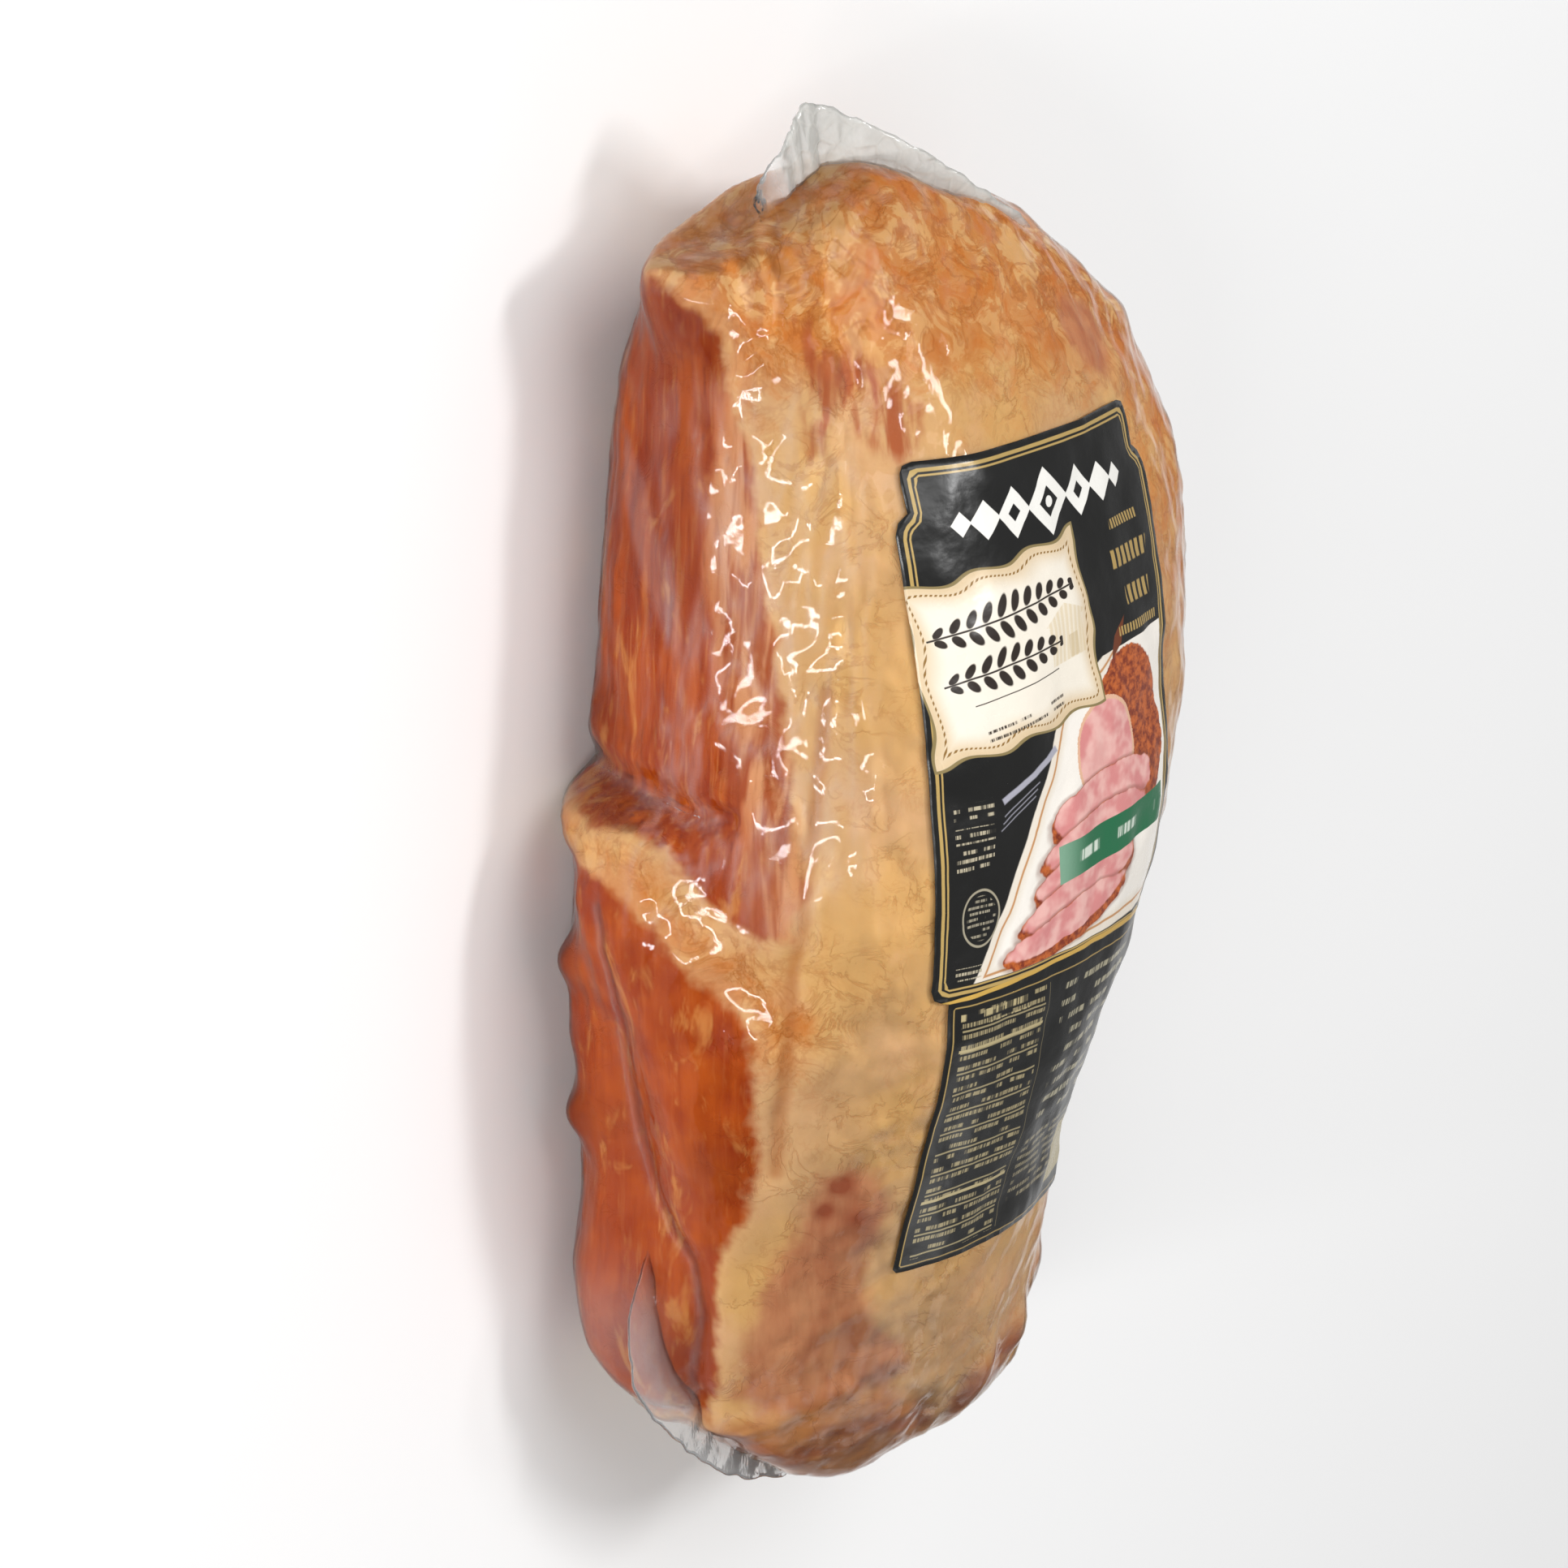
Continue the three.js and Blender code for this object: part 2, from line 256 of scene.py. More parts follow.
# %% Lines of the folds and seams
LONG_FOLD = [(11, 226), (12, 210), (12, 202), (12, 194), (11, 187), (9, 180), (8, 175), (9, 170)]
FOLD_LIP = [(0, 214), (0, 204), (0, 196), (-2, 188), (-5, 182)]
FAT_SEAM = [
    (42, 152), (18, 153), (2, 154), (-16, 155), (-29, 157), (-44, 157), (-57, 158), (-81, 160),
]
BAG_CREASE = [
    (-16, 190), (-23, 189), (-45, 189), (-62, 190), (-80, 189), (-93, 185), (-103, 181),
    (-110, 177), (-124, 176), (-147, 181), (-160, 190),
]
FAT_BAND = [(-2, 207), (-7, 196), (-11, 186), (-18, 178), (-26, 171), (-34, 163), (-44, 160)]
SHANK_RIDGE = [(-157, 205), (-157, 190), (-151, 165), (-147, 150)]
BAG_RIDGE = [
    (152, 182), (147, 173), (137, 167), (126, 166), (119, 172), (108, 173), (90, 177), (74, 177),
    (54, 175), (35, 172), (19, 173),
]
BAG_TUCKS = [
    [(152, 188), (146, 180), (138, 174), (128, 171)],
    [(128, 152), (116, 148), (104, 151), (92, 156), (78, 160)],
    [(74, 165), (60, 163), (46, 160), (34, 156), (22, 153)],
    [(58, 150), (44, 146), (30, 143), (14, 142)],
]

# %% [markdown]
# ## The meat
# The CAD ham has the right size, swellings and creases, but its faces are nearly a centimetre
# wide. Sculpting needs even, small faces, so a copy is merged and remeshed into squares of
# about 1.5 mm, then smoothed until the old faces are gone. After that the same moves a sculptor
# would make are made by number: the folds are pressed in, the muscles stand a little lower than
# the fat over them, and the fat is pebbled.

# %% Remesh the ham
FACE = 1.55  # mm, the side of the new squares
meat = begin("ham_meat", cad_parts["smoked_ham"].data.copy())
bpy.ops.object.mode_set(mode="EDIT")
bpy.ops.mesh.select_all(action="SELECT")
bpy.ops.mesh.remove_doubles(threshold=0.00001)
bpy.ops.object.mode_set(mode="OBJECT")
modify(meat, "REMESH", mode="VOXEL", voxel_size=FACE * MM, use_smooth_shade=True)
smooth = places(meat)
settled = averaged(meat, smooth, 40)
put(meat, settled + (smooth - settled).mean(0))
print("meat:", len(meat.data.vertices), "points")

# %% How deep each point lies in a muscle
base = places(meat)
spots = chart(base)
lean_depth = np.max([inside(spots, outline) for outline in LEAN], 0)
window_depth = np.max([inside(spots, o) for o in (SHANK_WINDOW, SMALL_PATCH)], 0)
streak_depth = np.max([inside(spots, o) for o in (STREAKS_LEFT, STREAKS_RIGHT)], 0)
print("meat: deepest in the lean", round(float(lean_depth.max())), "mm")

# %% [markdown]
# Now the sculpting. Every point gets a lift along its own outward direction, in millimetres: soft
# lumps all over, pebbles on the fat, long fibres on the lean, and a groove or a lip along each
# line. It is all one sum, so the order of the moves doesn't matter and nothing is pushed twice.


# %% Lumps, fibres and folds
def along_line(line, height, wide):
    """A ridge along a line, or a groove where the height is negative."""
    return height * np.exp(-((from_line(spots, line) / wide) ** 2))


lift = 1.3 * grain(base, 26, 2) + 0.45 * grain(base, 9, 2, 5.0)
lift += 0.3 * grain(base, 4.2, 2, 11.0) * soften(-lean_depth, -1, 3)
lift += 0.55 * grain(base, 8, 2, 51.0) * soften(spots[:, 0], 80, 125)
lift += 0.35 * grain(base, (3.2, 22, 3.2), 2, 3.0) * soften(lean_depth, 0, 4)
lift -= 0.8 * soften(lean_depth, -1.5, 2.5)
for line, height, wide in (
    (LONG_FOLD, -5.0, 4.0), (FOLD_LIP, 2.6, 6.5), (FAT_SEAM, -1.1, 2.2),
    (BAG_CREASE, -2.0, 3.0), (SHANK_RIDGE, 1.2, 3.0),
):
    lift += along_line(line, height, wide)
lift += along_line(FAT_BAND, 0.35, 9) * grain(base, 5, 2, 21.0)

# %% Round swellings
for along, degrees, across, height in (
    (-37, 203, 6, 4.0), (-79, 204, 6, 4.5), (24, 206, 7, 2.5), (147, 195, 8, 3.0),
    (-153, 60, 8, 3.0), (-163, 40, 7, 2.0), (96, 10, 9, 2.0), (64, 5, 10, 2.0),
    (137, 190, 15, 7.0), (-122, 200, 22, 6.0), (-142, 192, 20, 10.0),
    (-158, 172, 12, 4.0), (-164, 122, 7, -2.5), (-160, 90, 10, 3.0), (-172, 160, 26, 6.0),
    (50, 12, 7, 2.4), (34, 8, 8, 2.8), (14, 14, 7, 2.0), (-10, 10, 8, 2.4),
    (112, 22, 8, 1.8), (-140, 40, 9, 2.6), (-120, 25, 8, 1.6),
):
    lift += bump(spots, along, degrees, across, height)

# %% Grab and pull a few places
shaped = base + outward(meat) * lift[:, None]
for place, across, by in (
    ((-64, 162, 42), 14, (0, -12, 0)), ((-76, 146, 37), 9, (-5, 1, 0)),
    ((-24, 151, 60), 20, (0, 10, 4)), ((50, -182, 36), 12, (0, 7, 0)),
):
    near = np.exp(-((np.linalg.norm(shaped - place, axis=1) / across) ** 2))
    shaped += near[:, None] * by
shaped[:, 2] = np.maximum(shaped[:, 2], 1.2)
put(meat, averaged(meat, shaped, 1, 0.3))
print("meat: lifted", round(lift.min(), 1), "to", round(lift.max(), 1), "mm")

# %% [markdown]
# The colours follow the same muscles and lines, so they are noted on the points for the material
# to read: where the smoke was strongest, where thin fat veils the lean, and how far off each line
# is. That keeps the colours and the sculpted shape together.

# %% Notes for the colours of the meat
shaped = places(meat)
off_right = np.minimum(spots[:, 1], 360 * PER_DEGREE - spots[:, 1]) / PER_DEGREE
smoke = (
    soften(spots[:, 0], 88, 140) * (0.85 + 0.15 * grain(base, 30, 2, 7.0))
    + bump(spots, -120, 20, 60, 0.5) + bump(spots, 70, 8, 70, 0.65)
    + bump(spots, -155, 95, 34, 0.15) + 0.3 * soften(-off_right, -60, -20)
    + along_line(FAT_BAND, 0.6, 14)
)
veil = soften(inside(spots, VEILED_MUSCLE), -5, 6)
dark = sum(bump(spots, *spot) for spot in (
    (-37, 205, 8, 1.0), (-79, 206, 9, 1.0), (24, 207, 10, 0.7), (128, 186, 22, 0.5),
    (80, 186, 26, 0.35), (-85, 149, 2.6, 1.0), (-92, 152, 2.2, 0.8), (-95, 146, 3.0, 0.5),
    (-71, 138, 1.6, 1.2), (-80, 170, 9, 0.35), (-135, 186, 14, 0.5), (-165, 75, 8, 0.8),
))
notes = {
    "lean": lean_depth, "window": window_depth, "streaks": streak_depth,
    "smoke": np.clip(smoke, 0, 1), "veil": veil, "dark": np.clip(dark, 0, 1.2),
    "seam": np.minimum(from_line(spots, FAT_SEAM), from_line(spots, LONG_FOLD)),
    "fibrous": 0.35 + 0.65 * soften(spots[:, 0], -14, 6),
    # crease: distance from the bag's crease, used for a painted shade line along it
    "crease": from_line(spots, BAG_CREASE),
    "end": np.maximum(inside(spots, SHANK_END), inside(spots, SHANK_NUB)),
}
for name, values in notes.items():
    keep(meat, name, values)
round_off(meat)
print("meat: lean share", round(float((lean_depth > 0).mean()), 2))

# %% [markdown]
# ## The bag
# The bag is thin clear film that the vacuum pulled on to the meat. It follows the meat closely,
# but bridges the folds, because film can't be pushed into a groove, and it has fine pleats
# where there was too much of it. It starts as a copy of the sculpted meat. A smoothed version
# of the same points shows where the hollows are, and the film is lifted towards it there.

# %% Stretch the film over the meat
film = begin("clear_bag", meat.data.copy())
for name in notes:
    film.data.attributes.remove(film.data.attributes[name])
out = outward(film)
settled = averaged(film, shaped, 90)
hollow = np.clip(((settled - shaped) * out).sum(1) - 0.25, 0, 5)
bridge = averaged(film, hollow, 6)
print("bag: bridges up to", round(float(bridge.max()), 1), "mm")

# %% Where the label lies flat
LABEL_TOP, LABEL_MIDDLE = 96.5, -4.2
under_label = (
    soften(shaped[:, 2], 78, 84)
    * soften(54 - np.abs(shaped[:, 0] - LABEL_MIDDLE), 0, 5)
    * soften(shaped[:, 1], -122, -115) * soften(-shaped[:, 1], -106, -100)
)

# %% Pleat the film
CLEAR = 0.5  # mm from the meat to the film where it is tightest


def pleats(points, size, seed, sharp=2.0):
    """Narrow raised lines, as loose film makes, from 0 to 1."""
    return np.clip(1 - sharp * np.abs(grain(points, size, 2, seed)), 0, 1) ** 3


along, degrees = spots[:, 0], spots[:, 1] / PER_DEGREE
left_side = soften(degrees, 138, 150) * soften(-degrees, -196, -182)
long_run = left_side * soften(along, -30, 0) * soften(-along, -125, -100)
ends = np.maximum(soften(along, 118, 145), soften(-along, 125, 150))
calm = 1 - under_label
loose = 0.25 + 0.35 * ends + 0.3 * left_side
ruck = 0.75 * long_run * pleats(shaped, (10, 60, 10), 2.0)
ruck += 0.4 * loose * pleats(shaped, (22, 34, 22), 9.0, 5.0)
ruck += 0.22 * (ends + 0.4 * long_run) * pleats(shaped, (5, 15, 5), 15.0, 2.4)
uneven = 0.75 + 0.5 * grain(shaped, 9, 2, 61.0)
crease = along_line(BAG_CREASE, 0.9, 1.5) + uneven * along_line(BAG_RIDGE, 1.3, 1.7)
for tuck in BAG_TUCKS:
    crease += uneven * along_line(tuck, 0.8, 1.6)
gap = CLEAR + bridge + calm * ruck + crease
tight = shaped + out * gap[:, None]
tight[:, 2] = np.maximum(tight[:, 2], 0.2)
put(film, tight)
print("bag: up to", round(float(gap.max()), 1), "mm off the meat")

# %% [markdown]
# The ends of the bag stick out beyond the meat as crumpled fins: the sealed mouth above the
# butt, and a folded corner at the lower left. Each is a sheet run from a line inside the meat to
# a free edge, with pleats that fan out, and a second skin behind it.

# %% The free edges of the two fins
FILM_THICK = 0.5  # mm, both skins of the flattened bag together
BUTT_FIN = [
    (-53, 157, 53), (-47, 164, 54), (-42.5, 170, 54), (-40, 174.5, 54), (-35, 178, 54),
    (-28, 176, 55), (-20.5, 172.5, 58), (-11.9, 167.5, 64), (-2.1, 161, 69),
    (5.8, 156, 72), (16.2, 149, 74), (26.2, 143, 75), (34, 136, 74),
]
SHANK_FIN = [
    (-80, -108, 40), (-88, -118, 42), (-94, -130, 44), (-95, -140, 46), (-91, -149, 48),
    (-83, -158, 50), (-75, -166, 51), (-65, -174, 52), (-53, -180, 52), (-40, -183, 52),
    (-28, -182, 52), (-15, -177, 50), (-4, -168, 48), (4, -158, 46),
]
print("fin edges:", len(BUTT_FIN), "and", len(SHANK_FIN), "places")

# %% Crumple the ends of the bag
PLEATED = 150  # mm of pleated film along each free edge


def fin(name, edge, heart, deep, wide, tall, amount, seed, milk):
    bpy.ops.mesh.primitive_grid_add(x_subdivisions=wide, y_subdivisions=tall, size=1)
    piece = bpy.context.object
    piece.name = name
    across, up = places(piece).T[:2] * MM + 0.5  # shares from 0 to 1 of a grid 1 m wide
    knots = np.linspace(0, 1, len(edge))
    rim = np.stack([np.interp(across, knots, column) for column in np.array(edge).T], 1)
    root = rim + (np.array(heart) - rim) * deep
    points = root + (rim - root) * up[:, None]
    run = (rim - root) / np.linalg.norm(rim - root, axis=1)[:, None]
    flat = np.stack([across * PLEATED, up * 8, np.full(len(up), seed)], 1)
    fan = grain(flat, (22, 9, 1), 2, seed) * 2.6 + grain(flat, (6, 5, 1), 2, seed + 4) * 0.4
    small = (1 - 2 * np.abs(grain(points, (4.5, 3, 4.5), 2, seed + 8))) * 0.45
    side = np.array((0.12, 0.0, 1.0))
    points += side * ((fan + small) * amount * soften(up, 0.1, 0.9))[:, None]
    points += run * (grain(flat, (7, 9, 1), 2, seed + 2) * 1.1 * soften(up, 0.75, 1))[:, None]
    put(piece, points)
    faded = (0.2 + 0.8 * soften(up, 0.4, 0.8)) * soften(across, 0.0, 0.2)
    keep(piece, "milk", milk * faded * soften(1 - across, 0, 0.1))
    modify(piece, "SOLIDIFY", thickness=FILM_THICK * MM, offset=0)
    return piece


fins = [
    fin("butt_fin", BUTT_FIN, (-14, 80, 52), 0.46, 120, 34, 1.1, 3.0, 0.62),
    fin("shank_fin", SHANK_FIN, (-20, -110, 46), 0.34, 120, 26, 0.3, 13.0, 0.09),
]
print("fins:", [len(piece.data.vertices) for piece in fins])

# %% [markdown]
# Slack or doubled film is milky, and tight film is clear. So the haze is a number from 0 to 1 that
# is noted on each point: a little on the pleats and where the film bridges a hollow, and much more
# on the fins. A pale wedge on the left side is added to the same number. It is a painted reflection
# of a large soft lamp, shown as milky film.

# %% Note the haze and the painted reflection, and join the fins to the bag
stretched = soften(bridge, 0.8, 3.5) * 0.11
# A pale wedge on the left side: a painted reflection of a large soft lamp, laid in as milky film
reflection_wedge = inside(spots, [
    (98, 204), (87, 194), (72, 187), (51, 181), (45, 181), (50, 186), (66, 193), (84, 201),
])
haze_and_reflection = (
    stretched + 0.06 * soften(reflection_wedge, -1.5, 1.5) + 0.08 * bump(spots, -128, 194, 12)
    + 0.06 * ends * pleats(shaped, (6, 9, 6), 15.0, 2.4)
    + 0.10 * long_run * pleats(shaped, (7, 34, 7), 2.0)
    + along_line(BAG_CREASE, 0.05, 1.0)
)
# The milk note holds the real haze and also the painted reflection of the wedge
keep(film, "milk", np.clip(haze_and_reflection, 0, 0.85))
take_up(film)
for piece in fins:
    piece.select_set(True)
bpy.ops.object.join()
round_off(film)
print("bag:", len(film.data.polygons), "faces")

# %% [markdown]
# ## The label
# The label is one printed sheet: a wide front with stepped corners, and a narrower panel of
# small print below it. Its outline is drawn flat and cut into 2 mm squares, so that it can bend.
# Then each row of squares is laid on the bag by arc length, as paper lies: it bends, but it
# doesn't stretch. The flat drawing is kept as its UV map, and all the printing is drawn on that.

# %% Draw and cut the label
SQUARE = 2  # mm
LABEL_THICK, LABEL_CLEAR = 0.25, 0.45  # mm, the sheet and the gap left under it
FRONT_HALF, FRONT_LONG = 49, 134  # half the width of the front part, and its length
PANEL_HALF, LABEL_LONG = 44, 210  # half the width of the panel, and the whole length
RIGHT_EDGE = [
    (41, 0), (43.5, -0.8), (44.6, -2.6), (45, -5), (45, -12), (46, -12.6), (47.8, -14),
    (FRONT_HALF, -17), (FRONT_HALF, 4 - FRONT_LONG), (48, 1.4 - FRONT_LONG),
    (45.5, 0.2 - FRONT_LONG), (PANEL_HALF, -FRONT_LONG), (PANEL_HALF, 1 - LABEL_LONG),
    (43, -LABEL_LONG),
]
outline = [*RIGHT_EDGE, *[(-x, y) for x, y in reversed(RIGHT_EDGE)]]
drawing = bpy.data.meshes.new("printed_label")
drawing.from_pydata([(x * MM, y * MM, 0) for x, y in outline], [], [range(len(outline))[::-1]])
label = begin("printed_label", drawing)
bpy.ops.object.mode_set(mode="EDIT")
cuts = [((x, 0), (1, 0, 0)) for x in range(1 - FRONT_HALF, FRONT_HALF, SQUARE)]
cuts += [((0, y), (0, 1, 0)) for y in range(SQUARE - LABEL_LONG, 0, SQUARE)]
for (x, y), across in cuts:
    bpy.ops.mesh.select_all(action="SELECT")
    bpy.ops.mesh.bisect(plane_co=(x * MM, y * MM, 0), plane_no=across)
bpy.ops.mesh.select_all(action="SELECT")
bpy.ops.mesh.remove_doubles(threshold=0.00005)
bpy.ops.object.mode_set(mode="OBJECT")
print("label:", len(label.data.polygons), "squares")

# %% Note the flat drawing on the label
SHEET = 220.0  # mm across the whole UV square
LEFT_OF_SHEET, FOOT_OF_SHEET = 55.0, 215.0  # from the label's top middle
flat = places(label)
layer = label.data.uv_layers.new(name="flat")
corner_of = np.empty(len(label.data.loops), int)
label.data.loops.foreach_get("vertex_index", corner_of)
on_sheet = (flat[:, :2] + (LEFT_OF_SHEET, FOOT_OF_SHEET)) / SHEET
layer.data.foreach_set("uv", on_sheet[corner_of].ravel())
front_edge = [p for p in outline if p[1] >= -FRONT_LONG]
panel_edge = [
    (PANEL_HALF, -FRONT_LONG), (PANEL_HALF, -LABEL_LONG),
    (-PANEL_HALF, -LABEL_LONG), (-PANEL_HALF, -FRONT_LONG),
]


def inset(points, edge):
    """How deep each point is inside a flat outline, in mm."""
    scaled = [(x, y / PER_DEGREE) for x, y in edge]
    return inside(points[:, :2], scaled)


keep(label, "front", inset(flat, front_edge))
keep(label, "panel", inset(flat, panel_edge))
print("label:", LABEL_LONG, "mm long,", 2 * FRONT_HALF, "mm wide")

# %% [markdown]
# To lay it, rays from above first measure how high the bag stands on a grid of rows. The grid is
# eased, because a label bridges small wrinkles. The distance walked along each eased row then says
# where each point of the flat drawing comes to rest.

# %% Measure the bag under the label
ROW = 2  # mm between rows
bag = BVHTree.FromPolygons(
    [Vector(p) for p in places(film)], [tuple(f.vertices) for f in film.data.polygons],
)
reach = np.arange(-72, 64.1, 1.5)
rows = np.arange(-116, 100.1, ROW)
heights = np.full((len(rows), len(reach)), np.nan)
for i, y in enumerate(rows):
    for j, x in enumerate(reach):
        hit = bag.ray_cast(Vector((x, y, 200)), Vector((0, 0, -1)))
        if hit[0] is not None and hit[0].z > 40:
            heights[i, j] = hit[0].z
for row in heights:
    known = ~np.isnan(row)
    row[:] = np.interp(reach, reach[known], row[known])
print("bag under the label:", round(np.ptp(heights), 1), "mm from low to high")


# %% Roll each row of the label out by arc length
def eased(grid, times):
    for _ in range(times):
        padded = np.pad(grid, 1, mode="edge")
        around = (padded[:-2, 1:-1] + padded[2:, 1:-1] + padded[1:-1, :-2] + padded[1:-1, 2:]) / 4
        grid = grid + 0.6 * (around - grid)
    return grid


calm_heights = eased(heights, 8)
steps = np.hypot(np.diff(reach), np.diff(calm_heights, axis=1))
run = np.concatenate([np.zeros((len(rows), 1)), np.cumsum(steps, 1)], 1)
middle = np.array([np.interp(LABEL_MIDDLE, reach, r) for r in run])
run -= middle[:, None]


def wrapped(points):
    """Where points of the flat drawing come to rest on the eased rows."""
    level = LABEL_TOP + points[:, 1]
    place = (level - rows[0]) / ROW
    low = np.clip(place.astype(int), 0, len(rows) - 2)
    share = place - low
    result = np.empty_like(points)
    for k, (x, i, s) in enumerate(zip(points[:, 0], low, share)):
        xs = [np.interp(x, run[i + d], reach) for d in (0, 1)]
        zs = [np.interp(v, reach, calm_heights[i + d]) for d, v in zip((0, 1), xs)]
        result[k] = xs[0] + (xs[1] - xs[0]) * s, level[k], zs[0] + (zs[1] - zs[0]) * s
    return result


put(label, wrapped(flat))

# %% Lift the label clear of the bag
FAR = 12  # mm off the label, where the rays start
rest = places(label)
normals = outward(label)
if normals[:, 2].mean() < 0:
    bpy.ops.object.mode_set(mode="EDIT")
    bpy.ops.mesh.select_all(action="SELECT")
    bpy.ops.mesh.flip_normals()
    bpy.ops.object.mode_set(mode="OBJECT")
    normals = outward(label)
raised = np.empty(len(rest))
for k, (p, n) in enumerate(zip(rest, normals)):
    hit = bag.ray_cast(Vector(p + n * FAR), Vector(-n), 2 * FAR)
    raised[k] = FAR - hit[3] if hit[0] is not None else 0
raised = np.maximum(averaged(label, raised, 3), raised)
ripple = 0.18 * grain(rest, 9, 2, 40.0) + 0.12 * grain(rest, 4, 1, 44.0)
put(label, rest + normals * (raised + LABEL_CLEAR + np.clip(ripple, -0.1, 1))[:, None])
modify(label, "SOLIDIFY", thickness=LABEL_THICK * MM, offset=1)
round_off(label)
print("label: raised", round(float(raised.max()), 1), "mm at most over its own row")

# %% [markdown]
# ## Writing materials as sums
# A material is a small sum of patterns. Written as Python sums, each operator adds the Math node
# for it, so the recipe can be read. Colours can't go through Math nodes, which would turn them
# grey, so they have their own mix.

# %% Sums that become nodes
class Field:
    """A number that varies over a surface."""

    def __init__(self, finish, socket):
        self.finish, self.socket = finish, socket

    def sum(self, operation, *values):
        return self.finish.add("Math", dict(enumerate(values)), operation=operation)

    def __add__(self, other): return self.sum("ADD", self, other)
    def __radd__(self, other): return self.sum("ADD", other, self)
    def __sub__(self, other): return self.sum("SUBTRACT", self, other)
    def __rsub__(self, other): return self.sum("SUBTRACT", other, self)
    def __mul__(self, other): return self.sum("MULTIPLY", self, other)
    def __rmul__(self, other): return self.sum("MULTIPLY", other, self)
    def __truediv__(self, other): return self.sum("DIVIDE", self, other)
    def __pow__(self, other): return self.sum("POWER", self, other)
    def __abs__(self): return self.sum("ABSOLUTE", self)
    def least(self, other): return self.sum("MINIMUM", self, other)
    def most(self, other): return self.sum("MAXIMUM", self, other)
    def part(self): return self.sum("FRACT", self)
    def whole(self): return self.sum("FLOOR", self)

    def between(self, low, high):
        """0 at low, 1 at high and an S curve between them."""
        settings = {"Value": self, "From Min": low, "From Max": high}
        return self.finish.add("MapRange", settings, interpolation_type="SMOOTHSTEP")


class Finish:
    """One material and the nodes that are added to it."""

    def __init__(self, name):
        self.material = bpy.data.materials.new(name)
        self.material.use_nodes = True
        self.tree = self.material.node_tree
        self.tree.nodes.clear()

    def add(self, kind, inputs=(), output=0, **settings):
        node = self.tree.nodes.new("ShaderNode" + kind)
        for name, value in settings.items():
            setattr(node, name, value)
        for name, value in dict(inputs).items():
            if isinstance(value, Field):
                self.tree.links.new(value.socket, node.inputs[name])
            else:
                node.inputs[name].default_value = value
        return Field(self, node.outputs[output])

    def noted(self, name):
        return self.add("Attribute", output=2, attribute_name=name)

    def mix(self, share, first, second):
        return self.add("Mix", {0: share, 6: first, 7: second}, 2, data_type="RGBA")

    def stretched(self, place, sizes):
        scale = tuple(1000.0 / s for s in sizes)
        return self.add("VectorMath", {0: place, 1: scale}, operation="MULTIPLY")

    def cloud(self, place, size, detail=2.0, rough=0.5, wander=0.0):
        """Soft noise from 0 to 1 with lumps of this many mm."""
        if not isinstance(size, tuple):
            size = (size,) * 3
        inputs = {"Vector": self.stretched(place, size), "Scale": 1.0, "Detail": detail,
                  "Roughness": rough, "Distortion": wander}
        return self.add("TexNoise", inputs)

    def cover(self, piece, shader):
        """Wires the shader to the output and gives the piece this finish alone."""
        node = self.tree.nodes.new("ShaderNodeOutputMaterial")
        self.tree.links.new(shader.socket, node.inputs["Surface"])
        piece.data.materials.clear()
        piece.data.materials.append(self.material)
        print(self.material.name, "has", len(self.tree.nodes), "nodes")


def shade(code):
    """A colour given as six hex digits, in the light values that shaders use."""
    parts = [int(code[i:i + 2], 16) / 255 for i in (0, 2, 4)]
    return (*[p / 12.92 if p <= 0.04045 else ((p + 0.055) / 1.055) ** 2.4 for p in parts], 1.0)


def palette(**codes):
    return {name: shade(code) for name, code in codes.items()}


print("a shade of mid grey:", round(shade("808080")[0], 3))


# %% [markdown]
# ## The finish of smoked meat
# Smoked meat is three colours laid over each other: buttery fat, mahogany lean where the
# muscle is bare, and the orange brown of the smoke, which gathers in the fine wrinkles of the fat.
# The outlines noted on the mesh say where the lean is, and noise frays their edges. Light sinks a
# little way into fat, so the shader scatters it under the surface.

# %% The colours of smoked meat
MEAT = palette(
    fat="CFA87A", butter="D7AD70", cream="DCB287", vein="B06A2C", amber="CC7C28", umber="B0601E",
    toast="C87020", light_fat="E2BB80", wrinkle="A25416", seam="B06A33", mahogany="983404",
    rust="BC5814", brick="A84A20", light_fibre="CC8446", dark_fibre="7A2608", golden="D8964F",
    bruise="5E1E12", veiled="AC5A30", veil="DAA476", rose="B4704E", pale_rose="C98E66",
    # crease: the dark red of the painted shade in the bag's crease
    wine="93381F", crease="5A2016", streak="A9552F", cut_dark="A4542E", cut_light="C8854E",
    rim="DAAF82",
)
print("meat:", len(MEAT), "colours")

# %% Where lean shows
ham = Finish("smoked_meat")
spot = ham.add("TexCoord", output=3)
ragged = (ham.cloud(spot, 12, 3) - 0.5) * 8 + (ham.cloud(spot, 3.0, 2) - 0.5) * 1.3
lean = (ham.noted("lean") + ragged).between(-1.6, 2.0)
window = (ham.noted("window") + ragged * 1.1).between(-3.5, 3.0)
fibre = ham.cloud(spot, (1.7, 26, 1.7), 3, 0.55, 0.4)
coarse_fibre = ham.cloud(spot, (4.5, 40, 4.5), 3, 0.5, 0.3)
streaks = (ham.noted("streaks") + ragged * 0.5).between(-2.0, 2.5)
streaks = streaks * coarse_fibre.between(0.38, 0.62)
veil = ham.noted("veil")

# %% Fat, smoke and veins
fat = ham.mix(ham.cloud(spot, 34, 3).between(0.35, 0.65), MEAT["fat"], MEAT["butter"])
fat = ham.mix(ham.cloud(spot, 20, 4, 0.6).between(0.52, 0.72) * 0.6, fat, MEAT["cream"])


def wisps(size, width, wander):
    """Thin wandering lines, where soft noise passes through its middle."""
    soft = ham.cloud(spot, size, 5, 0.6, wander)
    return 1 - abs(soft - 0.5).between(0.0, width)


